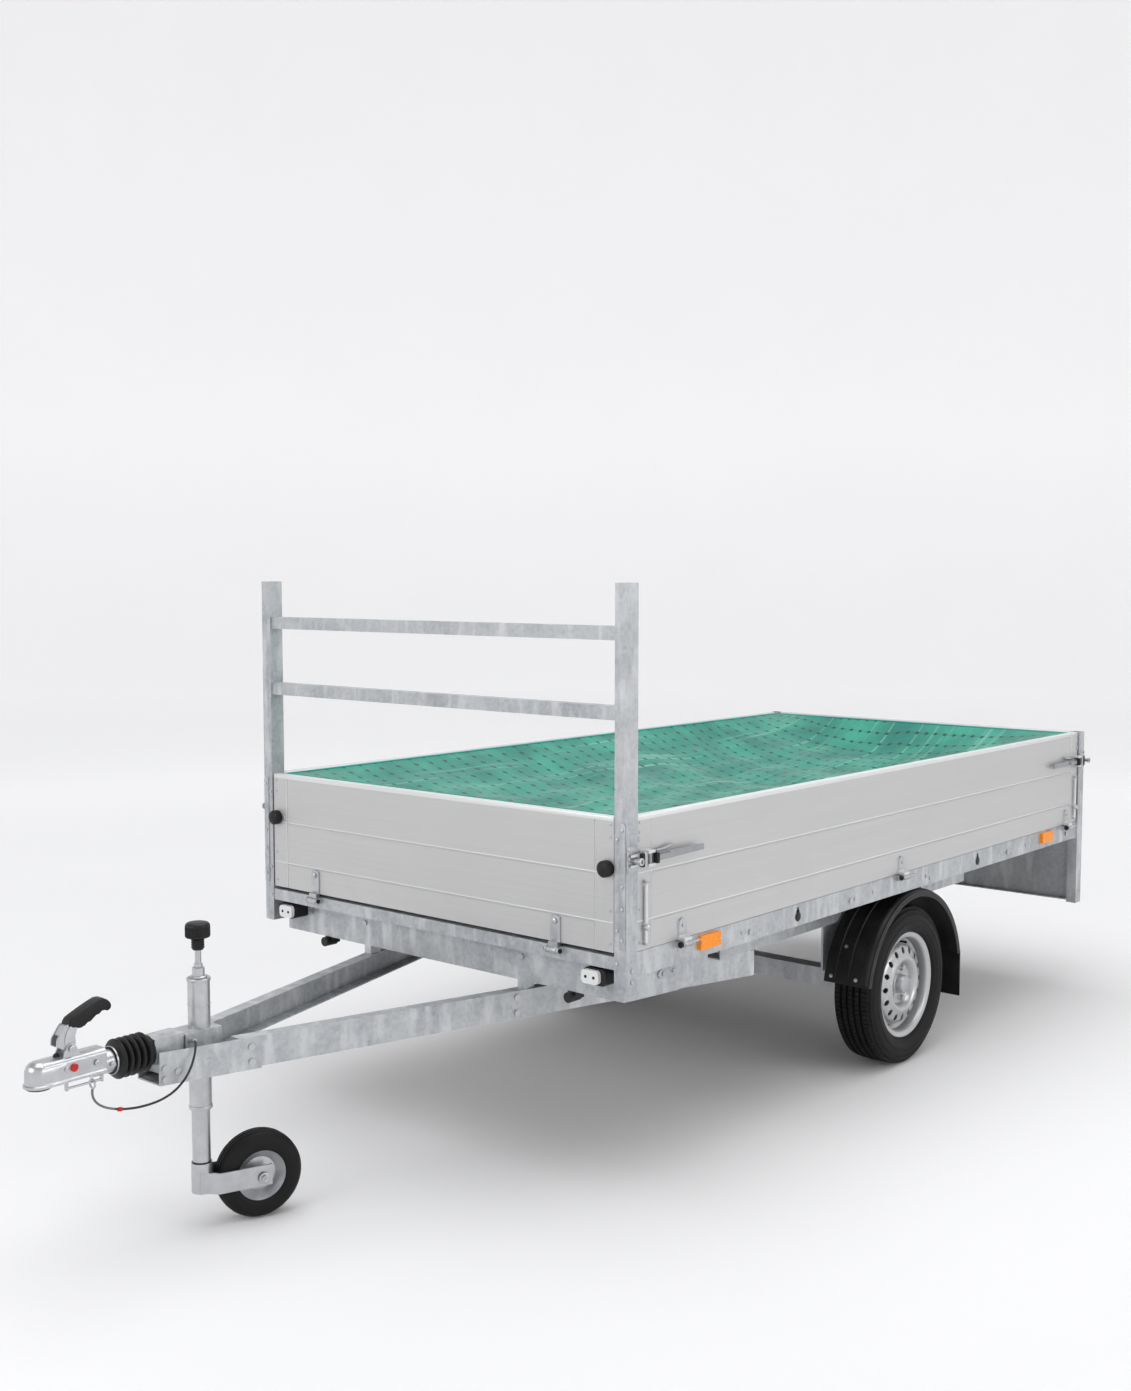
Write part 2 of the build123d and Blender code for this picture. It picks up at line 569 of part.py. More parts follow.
# --- coupling -------------------------------------------------------------------------
head_half = SOCKET_R + HEAD_WALL - 2
with BuildPart() as coupling_head:
    rod((0, back(SOCKET_BACK), HEAD_BOTTOM + 3), (0, 0, 1), head_half, SOCKET_Z - HEAD_BOTTOM - 3)
    with Locations((0, back(SOCKET_BACK), SOCKET_Z)):
        Sphere(head_half)
    with BuildSketch(Plane(origin=(0, back(SOCKET_BACK), 0), x_dir=(1, 0, 0), z_dir=(0, 1, 0))):
        with Locations((0, -(HEAD_BOTTOM + HEAD_TOP) / 2)):
            RectangleRounded(2 * head_half - 4, HEAD_TOP - HEAD_BOTTOM, 14)
    extrude(amount=HEAD_REAR - SOCKET_BACK)
    rod((0, back(HEAD_REAR - 30), SHAFT_Z), (0, 1, 0), SHAFT_R + 3.5, COLLAR_REAR - HEAD_REAR + 30)
    # rim around the bottom edge
    with BuildSketch(plan_plane(HEAD_BOTTOM)):
        with Locations((0, SOCKET_BACK)):
            Circle(head_half + 2)
        with Locations((0, (SOCKET_BACK + HEAD_REAR) / 2)):
            Rectangle(2 * head_half + 2, HEAD_REAR - SOCKET_BACK)
    extrude(amount=5)
    # ball socket, open below, and the bore for the draw shaft
    with Locations((0, back(SOCKET_BACK), SOCKET_Z)):
        Sphere(SOCKET_R, mode=Mode.SUBTRACT)
    rod((0, back(SOCKET_BACK), HEAD_BOTTOM - 1), (0, 0, 1), SOCKET_R, SOCKET_Z - HEAD_BOTTOM + 1,
        Mode.SUBTRACT)
    # the cup's skirt ends at the rim
    cut_box(-head_half - 3, head_half + 3, back(SOCKET_BACK - head_half - 3),
            back(SOCKET_BACK + head_half + 3), SOCKET_Z - head_half - 3, HEAD_BOTTOM)
    rod((0, back(HEAD_REAR - 20), SHAFT_Z), (0, 1, 0), SHAFT_R, COLLAR_REAR - HEAD_REAR + 21,
        Mode.SUBTRACT)
    # ears and pin of the handle
    for side in (-1, 1):
        with BuildSketch(side_plane(side * 18 - 2)):
            with Locations((HANDLE_BACK, HANDLE_Z)):
                Circle(13)
            with Locations((HANDLE_BACK, HEAD_TOP - 3)):
                Rectangle(46, 6)
            make_hull()
        extrude(amount=4)
    rod((-21, back(HANDLE_BACK), HANDLE_Z), (1, 0, 0), HANDLE_PIN_R, 42)
    # guide rod below, which the breakaway hook slides along
    for distance, top in ((-1208, HEAD_BOTTOM + 2), (-1112, SHAFT_Z - SHAFT_R - 2)):
        box(-4, 4, back(distance), back(distance + 6), GUIDE_Z - 5, top)
    rod((0, back(-1206), GUIDE_Z), (0, 1, 0), GUIDE_R, 98)
    # wear indicator button on the side
    rod((head_half - 4, back(-1201), 519), (1, 0, 0), 9, 5)
save(coupling_head.part, "coupling_head")

with BuildPart() as draw_shaft:
    rod((0, back(HEAD_REAR - 20), SHAFT_Z), (0, 1, 0), SHAFT_R, SHAFT_END - HEAD_REAR + 20)
    chamfer(draw_shaft.edges().group_by(Axis.Y)[-1], 2)
save(draw_shaft.part, "draw_shaft")

lever_shape = [(HANDLE_BACK - 12, HANDLE_Z - 4), (HANDLE_BACK - 36, HANDLE_Z + 10),
               (HANDLE_BACK - 34, HANDLE_Z + 26), (HANDLE_BACK - 12, HANDLE_Z + 56),
               (HANDLE_BACK + 14, HANDLE_Z + 62), (HANDLE_BACK + 16, HANDLE_Z + 44),
               (HANDLE_BACK + 12, HANDLE_Z + 28), (HANDLE_BACK + 14, HANDLE_Z - 4)]
with BuildPart() as coupling_handle:
    for side in (-1, 1):
        with BuildSketch(side_plane(side * 12.5 - 2)):
            with BuildLine():
                Polyline(*lever_shape, close=True)
            make_face()
            with Locations((HANDLE_BACK, HANDLE_Z)):
                Circle(12)
                Circle(HANDLE_PIN_R + RUN_FIT, mode=Mode.SUBTRACT)
        extrude(amount=4)
    # web that joins the two plates
    web = [(HANDLE_BACK - 26, HANDLE_Z + 34), (HANDLE_BACK - 12, HANDLE_Z + 54),
           (HANDLE_BACK + 14, HANDLE_Z + 61), (HANDLE_BACK + 15, HANDLE_Z + 50)]
    prism(side_plane(-12), web, 24)
save(coupling_handle.part, "coupling_handle")

grip_shape = [(-1206, 618), (-1203, 632), (-1120, 666), (-1104, 664), (-1088, 650),
              (-1086, 640), (-1096, 630), (-1112, 636), (-1172, 604), (-1180, 606)]
with BuildPart() as coupling_grip:
    prism(side_plane(-17), grip_shape, 34)
    prism(side_plane(-14.5), lever_shape, 29, Mode.SUBTRACT)
save(coupling_grip.part, "coupling_grip")

with BuildPart() as coupling_bellows:
    rib_pitch = (BELLOWS_REAR - BELLOWS_FRONT - 12) / BELLOWS_RIBS
    outer = [(BELLOWS_FRONT, BELLOWS_INNER_R + 4), (BELLOWS_FRONT + 6, BELLOWS_INNER_R + 4)]
    for rib in range(BELLOWS_RIBS):
        crest = BELLOWS_FRONT + 6 + (rib + 0.5) * rib_pitch
        outer += [(crest - 3, BELLOWS_R), (crest + 3, BELLOWS_R),
                  (crest + rib_pitch / 2, BELLOWS_INNER_R + 9)]
    outer += [(BELLOWS_REAR, BELLOWS_INNER_R + 9)]
    wall = [(BELLOWS_REAR, BELLOWS_INNER_R), (BELLOWS_FRONT, BELLOWS_INNER_R)]
    axial = Plane(origin=(0, FRONT, SHAFT_Z), x_dir=(0, 1, 0), z_dir=(1, 0, 0))
    with BuildSketch(axial):
        with BuildLine():
            Polyline(*outer, *wall, close=True)
        make_face()
    revolve(axis=Axis((0, FRONT, SHAFT_Z), (0, 1, 0)))
save(coupling_bellows.part, "coupling_bellows")

# --- breakaway cable ------------------------------------------------------------------
CABLE_R = 3
RING_R = 11
RING_WIRE_R = 2.5
ring_z = GUIDE_Z - 5
ring_back = -1135
cable_points = [(0, -1135, ring_z - RING_R - RING_WIRE_R), (2, -1139, 432), (8, -1133, 411),
                (18, -1115, 396), (31, -1087, 387), (44, -1052, 383), (56, -1016, 385),
                (68, -982, 393), (78, -952, 409), (86, -928, 434), (90, -911, 463),
                (87, -898, 492), (76, -887, 512), (60, -877, 515), (BRACKET_HALF + 8, -874, 512)]


def bend_radii(points):
    """Arc radius at each inner point of a route, as large as its two runs allow."""
    radii = []
    for before, here, after in zip(points, points[1:], points[2:]):
        first = Vector(*here) - Vector(*before)
        second = Vector(*after) - Vector(*here)
        half_turn = math.radians(first.get_angle(second)) / 2
        radii.append(0.45 * min(first.length, second.length) / math.tan(half_turn))
    return radii


cable_route = [(x, back(y), z) for x, y, z in cable_points]
cable_radii = bend_radii(cable_route)
print("cable bend radii", [round(radius, 1) for radius in cable_radii])
with BuildPart() as safety_cable:
    with BuildLine() as cable_line:
        FilletPolyline(*cable_route, radius=cable_radii)
    with BuildSketch(cable_line.line ^ 0):
        Circle(CABLE_R)
    sweep()
cable_length = sum(edge.length for edge in cable_line.edges())
print("cable volume over section x length",
      round(safety_cable.part.volume / (math.pi * CABLE_R ** 2 * cable_length), 4))
save(safety_cable.part, "safety_cable")

with BuildPart() as cable_hook:
    with BuildSketch(Plane(origin=(0, back(ring_back), ring_z), x_dir=(1, 0, 0), z_dir=(0, 0, 1))):
        with Locations((RING_R, 0)):
            Circle(RING_WIRE_R)
    revolve(axis=Axis((0, back(ring_back), ring_z), (0, 1, 0)))
save(cable_hook.part, "cable_hook")

# --- jockey wheel ---------------------------------------------------------------------
jockey_y = back(JOCKEY_BACK)
with BuildPart() as jockey_outer_tube:
    rod((0, jockey_y, JOCKEY_TUBE_BOTTOM), (0, 0, 1), JOCKEY_TUBE_R,
        JOCKEY_TUBE_TOP - JOCKEY_TUBE_BOTTOM)
    rod((0, jockey_y, JOCKEY_TUBE_TOP), (0, 0, 1), 16, 27)
    rod((0, jockey_y, JOCKEY_TUBE_BOTTOM - 1), (0, 0, 1), JOCKEY_INNER_R + RUN_FIT,
        30, Mode.SUBTRACT)
    rod((0, jockey_y, JOCKEY_TUBE_BOTTOM + 28), (0, 0, 1), JOCKEY_TUBE_R - JOCKEY_TUBE_WALL,
        JOCKEY_TUBE_TOP - JOCKEY_TUBE_BOTTOM - 34, Mode.SUBTRACT)
    rod((0, jockey_y, JOCKEY_TUBE_TOP - 10), (0, 0, 1), SPINDLE_R + RUN_FIT, 40, Mode.SUBTRACT)
save(jockey_outer_tube.part, "jockey_outer_tube")

with BuildPart() as jockey_inner_tube:
    rod((0, jockey_y, JOCKEY_INNER_BOTTOM), (0, 0, 1), JOCKEY_INNER_R,
        JOCKEY_INNER_TOP - JOCKEY_INNER_BOTTOM)
    rod((0, jockey_y, JOCKEY_INNER_BOTTOM + 30), (0, 0, 1), JOCKEY_INNER_R - 4,
        JOCKEY_INNER_TOP - JOCKEY_INNER_BOTTOM - 50, Mode.SUBTRACT)
    rod((0, jockey_y, JOCKEY_INNER_BOTTOM - 1), (0, 0, 1), FORK_PIN_R + RUN_FIT, 32, Mode.SUBTRACT)
    rod((0, jockey_y, JOCKEY_INNER_TOP - 21), (0, 0, 1), SPINDLE_R + 0.4, 22, Mode.SUBTRACT)
save(jockey_inner_tube.part, "jockey_inner_tube")

spindle_bottom = 400
knob_neck = 729
with BuildPart() as jockey_spindle:
    rod((0, jockey_y, spindle_bottom), (0, 0, 1), SPINDLE_R, knob_neck - spindle_bottom)
    rod((0, jockey_y, JOCKEY_TUBE_TOP + 28), (0, 0, 1), 11, 10)
save(jockey_spindle.part, "jockey_spindle")

with BuildPart() as jockey_knob:
    with BuildSketch(Plane(origin=(0, jockey_y, 0), x_dir=(1, 0, 0), z_dir=(0, -1, 0))):
        with BuildLine():
            Polyline((0, knob_neck), (14, knob_neck), (18, 760), (KNOB_R - 3, 762))
            ThreePointArc((KNOB_R - 3, 762), (KNOB_R - 1, 763), (KNOB_R, 766))
            Polyline((KNOB_R, 766), (KNOB_R, KNOB_TOP - 9))
            ThreePointArc((KNOB_R, KNOB_TOP - 9), (KNOB_R - 3, KNOB_TOP - 3),
                          (KNOB_R - 9, KNOB_TOP - 1))
            Polyline((KNOB_R - 9, KNOB_TOP - 1), (0, KNOB_TOP), (0, knob_neck))
        make_face()
    revolve(axis=Axis((0, jockey_y, 0), (0, 0, 1)))
save(jockey_knob.part, "jockey_knob")

turn = math.radians(FORK_TURN)
fork_across = (math.cos(turn), -math.sin(turn), 0)
fork_along = (math.sin(turn), math.cos(turn), 0)


def fork_plane(height):
    """Horizontal plane at the swivel axis: local X across the fork, local Y along its trail."""
    return Plane(origin=(0, jockey_y, height), x_dir=fork_across, z_dir=(0, 0, 1))


axle_point = (FORK_TRAIL * fork_along[0], jockey_y + FORK_TRAIL * fork_along[1], JOCKEY_R)
arm_bottom = JOCKEY_R - 22
arm_top = JOCKEY_R + 32
axle_r = 6
with BuildPart() as jockey_fork:
    with BuildSketch(fork_plane(arm_bottom)):
        Circle(27)
    extrude(amount=JOCKEY_INNER_BOTTOM - 0.5 - arm_bottom)
    with BuildSketch(fork_plane(JOCKEY_INNER_BOTTOM - 1)):
        Circle(FORK_PIN_R)
    extrude(amount=28)
    inner_half = FORK_HALF - FORK_PLATE
    arm = [(20, -12), (27, -12), (29, 6), (FORK_HALF, 32), (FORK_HALF, FORK_TRAIL + 24),
           (inner_half, FORK_TRAIL + 24), (inner_half, 34), (22, 9)]
    for side in (-1, 1):
        prism(fork_plane(arm_bottom), [(side * x, y) for x, y in arm], arm_top - arm_bottom)
    # axle bolt
    start = [axle_point[i] - (FORK_HALF + 9) * fork_across[i] for i in range(3)]
    rod(tuple(start), fork_across, axle_r, 2 * FORK_HALF + 18)
save(jockey_fork.part, "jockey_fork")

jockey_plane = Plane(origin=axle_point, x_dir=fork_across, z_dir=(fork_along[0], fork_along[1], 0))
jockey_axis = Axis(axle_point, fork_across)
jockey_half = JOCKEY_WIDTH / 2
with BuildPart() as jockey_tyre:
    with BuildSketch(jockey_plane):
        with BuildLine():
            Polyline((-jockey_half + 6, JOCKEY_RIM_R), (-jockey_half, JOCKEY_RIM_R + 16))
            ThreePointArc((-jockey_half, JOCKEY_RIM_R + 16), (-jockey_half + 7, JOCKEY_R - 12),
                          (-jockey_half + 20, JOCKEY_R - 2))
            ThreePointArc((-jockey_half + 20, JOCKEY_R - 2), (0, JOCKEY_R), (jockey_half - 20, JOCKEY_R - 2))
            ThreePointArc((jockey_half - 20, JOCKEY_R - 2), (jockey_half - 7, JOCKEY_R - 12),
                          (jockey_half, JOCKEY_RIM_R + 16))
            Polyline((jockey_half, JOCKEY_RIM_R + 16), (jockey_half - 6, JOCKEY_RIM_R),
                     (-jockey_half + 6, JOCKEY_RIM_R))
        make_face()
    revolve(axis=jockey_axis)
save(jockey_tyre.part, "jockey_tyre")

with BuildPart() as jockey_rim:
    with BuildSketch(jockey_plane):
        with BuildLine():
            Polyline((-35, axle_r + RUN_FIT), (-35, 17), (-14, 22), (-10, 44), (-24, JOCKEY_RIM_R - 6),
                     (-30, JOCKEY_RIM_R), (30, JOCKEY_RIM_R), (24, JOCKEY_RIM_R - 6), (10, 44),
                     (14, 22), (35, 17), (35, axle_r + RUN_FIT), close=True)
        make_face()
    revolve(axis=jockey_axis)
save(jockey_rim.part, "jockey_rim")

# --- drop sides -----------------------------------------------------------------------


def plank_panel(plane, length):
    """A plank panel with grooves and end caps; local X along it, local Y up, Z outwards."""
    with BuildSketch(plane) as outline:
        with Locations((0, PANEL_HEIGHT / 2)):
            Rectangle(length, PANEL_HEIGHT)
    extrude(outline.sketch, amount=-PANEL_THICK)
    # three open chambers, one in each plank
    edges = (0, *(PANEL_HEIGHT * share for share in PLANK_GROOVES), PANEL_HEIGHT)
    for low, high in zip(edges, edges[1:]):
        with BuildSketch(plane.offset(-PANEL_WALL)) as outline:
            with Locations((0, (low + high) / 2)):
                Rectangle(length, high - low - 2 * PANEL_WALL)
        extrude(outline.sketch, amount=2 * PANEL_WALL - PANEL_THICK, mode=Mode.SUBTRACT)
    for share in PLANK_GROOVES:
        with BuildSketch(plane) as outline:
            with Locations((0, PANEL_HEIGHT * share)):
                Rectangle(length - 2 * END_CAP, GROOVE_WIDTH)
        extrude(outline.sketch, amount=-GROOVE_DEPTH, mode=Mode.SUBTRACT)
    for end in (-1, 1):
        with BuildSketch(plane) as outline:
            with Locations((end * (length / 2 - END_CAP), PANEL_HEIGHT / 2)):
                Rectangle(GROOVE_WIDTH / 2, PANEL_HEIGHT)
        extrude(outline.sketch, amount=-GROOVE_DEPTH, mode=Mode.SUBTRACT)


panel_half_x = POST_INNER - PANEL_GAP
side_length = BED_LENGTH - 2 * POST_Y - 2 * PANEL_GAP
with BuildPart() as front_panel:
    plank_panel(Plane(origin=(0, front_panel_y, PANEL_BOTTOM), x_dir=(1, 0, 0), z_dir=(0, -1, 0)),
                2 * panel_half_x)
save(front_panel.part, "front_panel")
with BuildPart() as tailgate:
    plank_panel(Plane(origin=(0, tail_outer_y, PANEL_BOTTOM), x_dir=(-1, 0, 0), z_dir=(0, 1, 0)),
                2 * panel_half_x)
save(tailgate.part, "tailgate")
bed_middle = back(BED_LENGTH / 2)
for side, name in ((1, "left"), (-1, "right")):
    face = side * (HALF_WIDTH - PANEL_INSET)
    with BuildPart() as side_panel:
        plank_panel(Plane(origin=(face, bed_middle, PANEL_BOTTOM), x_dir=(0, side, 0),
                          z_dir=(side, 0, 0)), side_length)
    save(side_panel.part, f"side_panel_{name}")

with BuildPart() as front_panel_fittings:
    for side in (-1, 1):
        middle = side * FRONT_HINGE_X
        half = BARREL_LENGTH / 2
        box(middle - half, middle + half, front_panel_y - SHEET, front_panel_y,
            FRONT_HINGE_Z + 12, PANEL_BOTTOM + 72)
        box(middle - half, middle + half, back(FRONT_HINGE_Y), rail_y - 1, FRONT_HINGE_Z,
            FRONT_HINGE_Z + 22)
        rod((middle - half, back(FRONT_HINGE_Y), FRONT_HINGE_Z), (1, 0, 0), HINGE_BARREL_R,
            BARREL_LENGTH)
        rod((middle - half - 1, back(FRONT_HINGE_Y), FRONT_HINGE_Z), (1, 0, 0),
            HINGE_PIN_R + RUN_FIT, BARREL_LENGTH + 2, Mode.SUBTRACT)
        rod((middle, front_panel_y - SHEET, PANEL_BOTTOM + 60), (0, -1, 0), BOLT_HEAD_R, BOLT_HEAD)
        # rubber buffer
        rod((side * (panel_half_x - 20), front_panel_y, 905), (0, -1, 0), 22, 20)
save(front_panel_fittings.part, "front_panel_fittings")


def drop_hinge(frame):
    """Moving half of a drop hinge; the frame's X runs along the pin and its Z outwards."""
    half = BARREL_LENGTH / 2
    strap = frame.offset(-HINGE_OUT - PANEL_INSET)
    with BuildSketch(strap) as outline:
        with Locations((0, 36)):
            Rectangle(BARREL_LENGTH, 52)
    extrude(outline.sketch, amount=SHEET)
    with BuildSketch(strap) as outline:
        with Locations((0, 13)):
            Rectangle(BARREL_LENGTH, 8)
    extrude(outline.sketch, amount=HINGE_OUT + PANEL_INSET)
    with BuildSketch(frame.offset(-HINGE_PIN_R)) as outline:
        with Locations((0, 8)):
            Rectangle(BARREL_LENGTH, 16)
    extrude(outline.sketch, amount=2 * HINGE_PIN_R)
    along = frame.x_dir
    begin = frame.origin - along * half
    rod(begin, along, HINGE_BARREL_R - 1, BARREL_LENGTH)
    rod(begin - along, along, HINGE_PIN_R + RUN_FIT, BARREL_LENGTH + 2, Mode.SUBTRACT)


def hinge_lugs(frame, reach):
    """Fixed half of a drop hinge: two lugs and the pin, reaching back to the beam."""
    inner = BARREL_LENGTH / 2 + LUG_GAP
    along = frame.x_dir
    for direction in (-1, 1):
        with BuildSketch(frame.offset(-reach)) as outline:
            with Locations((direction * (inner + LUG / 2), -4)):
                Rectangle(LUG, 16)
        extrude(outline.sketch, amount=reach)
        begin = frame.origin + along * (direction * (inner + LUG / 2) - LUG / 2)
        rod(begin, along, HINGE_BARREL_R - 1, LUG)
    rod(frame.origin - along * (inner + LUG), along, HINGE_PIN_R, 2 * (inner + LUG))


def side_hinge_frame(side, distance):
    """Pin of a side hinge."""
    return Plane(origin=(side * (HALF_WIDTH + HINGE_OUT), back(distance), HINGE_Z),
                 x_dir=(0, side, 0), z_dir=(side, 0, 0))


def tail_hinge_frame(x):
    """Pin of a tailgate hinge."""
    return Plane(origin=(x, back(BED_LENGTH + HINGE_OUT), HINGE_Z), x_dir=(-1, 0, 0),
                 z_dir=(0, 1, 0))


def latch_frame(side, end):
    """Pin of a side latch: X away from the post along the panel, Z outwards."""
    distance = POST_Y / 2 if end == "front" else BED_LENGTH - POST_Y / 2
    away = 1 if end == "front" else -1
    return Plane(origin=(side * HALF_WIDTH, back(distance), LATCH_Z), x_dir=(0, away, 0),
                 z_dir=(side, 0, 0))


def tail_latch_frame(side):
    """Pin of a tailgate latch."""
    return Plane(origin=(side * (HALF_WIDTH - POST_X / 2), back(BED_LENGTH), TAIL_LATCH_Z),
                 x_dir=(-side, 0, 0), z_dir=(0, 1, 0))


PIVOT_OUT = 13             # lever pivot beyond the post face
KNUCKLE_R = 7


def latch_base(frame):
    """Fixed half of a latch on its panel: back plate, claw and the two ears of the pivot."""
    with BuildSketch(frame.offset(-PANEL_INSET)) as outline:
        with Locations((LEVER_PIVOT, 0)):
            Rectangle(46, 44)
    extrude(outline.sketch, amount=SHEET)
    for direction in (-1, 1):
        with BuildSketch(frame.offset(-PANEL_INSET)) as outline:
            with Locations((LEVER_PIVOT, direction * 18)):
                Rectangle(30, 8)
        extrude(outline.sketch, amount=PANEL_INSET + PIVOT_OUT + KNUCKLE_R)
    # claw over the post pin, open towards the pin's far side
    with BuildSketch(frame.offset(6)) as outline:
        with Locations((LEVER_PIVOT / 2 - 10, 0)):
            Rectangle(LEVER_PIVOT + 8, 34)
        with Locations((-2, 0)):
            SlotOverall(40, 2 * LATCH_PIN_R + 7, mode=Mode.SUBTRACT)
    extrude(outline.sketch, amount=5)
    for direction in (-1, 1):
        with BuildSketch(frame.offset(-PANEL_INSET)) as outline:
            with Locations((LEVER_PIVOT - 17, direction * 14)):
                Rectangle(10, 6)
        extrude(outline.sketch, amount=PANEL_INSET + 11)
    up = frame.y_dir
    pivot = frame.origin + frame.x_dir * LEVER_PIVOT + frame.z_dir * PIVOT_OUT
    rod(pivot - up * 22, up, 3, 44)


def latch_lever(frame):
    """Lever that swings outwards about its upright pivot."""
    up = frame.y_dir
    pivot = frame.origin + frame.x_dir * LEVER_PIVOT + frame.z_dir * PIVOT_OUT
    rod(pivot - up * 13, up, KNUCKLE_R - 1, 26)
    with BuildSketch(frame.offset(PIVOT_OUT - 3)) as outline:
        with BuildLine():
            Polyline((LEVER_PIVOT, 11), (LEVER_PIVOT + 60, 11), (LEVER_PIVOT + LEVER_LENGTH, 8),
                     (LEVER_PIVOT + LEVER_LENGTH, -8), (LEVER_PIVOT + 60, -11),
                     (LEVER_PIVOT, -11), close=True)
        make_face()
    extrude(outline.sketch, amount=6)
    with BuildSketch(frame.offset(PIVOT_OUT + 3)) as outline:
        with Locations((LEVER_PIVOT + 62, 0)):
            SlotOverall(60, 14)
    extrude(outline.sketch, amount=6)
    rod(pivot - up * 14, up, 3 + RUN_FIT, 28, Mode.SUBTRACT)


def side_rod(side, distance):
    """Upright rod with an eye on a side panel's end."""
    x = side * (HALF_WIDTH + 1)
    rod((x, back(distance), PANEL_BOTTOM + 16), (0, 0, 1), 5, 175)
    for height in (PANEL_BOTTOM + 24, PANEL_BOTTOM + 72, PANEL_BOTTOM + 180):
        low, high = sorted((side * (HALF_WIDTH - PANEL_INSET), x))
        box(low, high, back(distance) - 5, back(distance) + 5, height - 5, height + 5)


for side, name in ((1, "left"), (-1, "right")):
    with BuildPart() as side_fittings:
        for distance in SIDE_HINGES:
            drop_hinge(side_hinge_frame(side, distance))
        for end in ("front", "rear"):
            latch_base(latch_frame(side, end))
        for distance in (POST_Y + ROD_FROM_POST, BED_LENGTH - POST_Y - ROD_FROM_POST):
            side_rod(side, distance)
    save(side_fittings.part, f"side_fittings_{name}")
    for end in ("front", "rear"):
        with BuildPart() as lever:
            latch_lever(latch_frame(side, end))
        save(lever.part, f"latch_lever_{name}_{end}")

with BuildPart() as tailgate_fittings:
    for x in (-FRONT_HINGE_X, 0, FRONT_HINGE_X):
        drop_hinge(tail_hinge_frame(x))
    for side in (-1, 1):
        latch_base(tail_latch_frame(side))
save(tailgate_fittings.part, "tailgate_fittings")
for side, name in ((1, "left"), (-1, "right")):
    with BuildPart() as lever:
        latch_lever(tail_latch_frame(side))
    save(lever.part, f"latch_lever_tail_{name}")

with BuildPart() as hinge_brackets:
    for distance in SIDE_HINGES:
        hinge_lugs(side_hinge_frame(1, distance), HINGE_OUT + SIDE_BEAM_INSET)
    mirror(about=Plane.YZ)
    for x in (-FRONT_HINGE_X, 0, FRONT_HINGE_X):
        hinge_lugs(tail_hinge_frame(x), HINGE_OUT + POST_Y - TUBE_WALL - CROSS_WIDTH)
save(hinge_brackets.part, "hinge_brackets")

with BuildPart() as post_latch_pins:
    frames = [latch_frame(side, end) for side in (-1, 1) for end in ("front", "rear")]
    frames += [tail_latch_frame(side) for side in (-1, 1)]
    for frame in frames:
        with BuildSketch(frame):
            RectangleRounded(32, 56, 4)
        extrude(amount=3)
        rod(frame.origin, frame.z_dir, LATCH_PIN_R, LATCH_PIN_LENGTH)
save(post_latch_pins.part, "post_latch_pins")

# --- lights, hooks and net ------------------------------------------------------------
board_y = back(BED_LENGTH - 30)
board_top = BEAM_BOTTOM
plate_hole_x = 120
plate_hole_z = 470
with BuildPart() as light_board:
    box(-POST_INNER, POST_INNER, board_y, board_y + SHEET, REAR_POST_FOOT + 10, board_top)
    box(-POST_INNER, POST_INNER, board_y - 26, board_y, REAR_POST_FOOT + 10,
        REAR_POST_FOOT + 10 + SHEET)
    for side in (-1, 1):
        rod((side * plate_hole_x, board_y - 1, plate_hole_z), (0, 1, 0), 3, SHEET + 2,
            Mode.SUBTRACT)
save(light_board.part, "light_board")

with BuildPart() as rear_lights:
    with BuildSketch(Plane(origin=(HALF_WIDTH - 190, board_y + SHEET, 470), x_dir=(1, 0, 0), z_dir=(0, 1, 0))):
        RectangleRounded(220, 130, 18)
    extrude(amount=24)
    fillet(rear_lights.faces().sort_by(Axis.Y)[-1].edges(), 6)
    mirror(about=Plane.YZ)
save(rear_lights.part, "rear_lights")

with BuildPart() as side_reflectors:
    for distance in (387, BED_LENGTH - 349):
        frame = Plane(origin=(beam_outer, back(distance), 650), x_dir=(0, 1, 0), z_dir=(1, 0, 0))
        with BuildSketch(frame):
            RectangleRounded(100, 40, 5)
        extrude(amount=12)
    mirror(about=Plane.YZ)
save(side_reflectors.part, "side_reflectors")

marker_x = HALF_WIDTH - 114
marker_z = 604
lens_y = back(-2)
with BuildPart() as front_marker_housings:
    with BuildSketch(Plane(origin=(marker_x + 8, front_beam_y, marker_z), x_dir=(1, 0, 0),
                           z_dir=(0, -1, 0))):
        RectangleRounded(76, 46, 12)
    extrude(amount=front_beam_y - lens_y)
    mirror(about=Plane.YZ)
save(front_marker_housings.part, "front_marker_housings")
with BuildPart() as front_marker_lenses:
    with BuildSketch(Plane(origin=(marker_x, lens_y, marker_z), x_dir=(1, 0, 0), z_dir=(0, -1, 0))):
        RectangleRounded(60, 38, 12)
    extrude(amount=12)
    mirror(about=Plane.YZ)
save(front_marker_lenses.part, "front_marker_lenses")

hook_x = HALF_WIDTH - 238
with BuildPart() as lashing_hooks:
    box(hook_x - 15, hook_x + 15, front_beam_y + 4, front_beam_y + 40, FRONT_BEAM_BOTTOM - 22,
        FRONT_BEAM_BOTTOM)
    rod((hook_x, front_beam_y - 14, FRONT_BEAM_BOTTOM - 16), (0, 1, 0), 15, 46)
    mirror(about=Plane.YZ)
save(lashing_hooks.part, "lashing_hooks")

NET_ROPE = 8
NET_SAG = 190
NET_EDGE_GAP = 5
net_half = panel_inner_x - NET_EDGE_GAP
net_front = front_panel_y + PANEL_THICK + NET_EDGE_GAP
net_rear = tail_outer_y - PANEL_THICK - NET_EDGE_GAP
net_top = BED_TOP - 2
net_corner_front = back(POST_Y + NET_EDGE_GAP)
net_corner_rear = back(BED_LENGTH - POST_Y - NET_EDGE_GAP)
NET_ARCS = 9
NET_BARS = 8


def net_height(x):
    """Height of the sagging net above a point across the bed."""
    return net_top - NET_ROPE - NET_SAG * (1 - (x / net_half) ** 2)


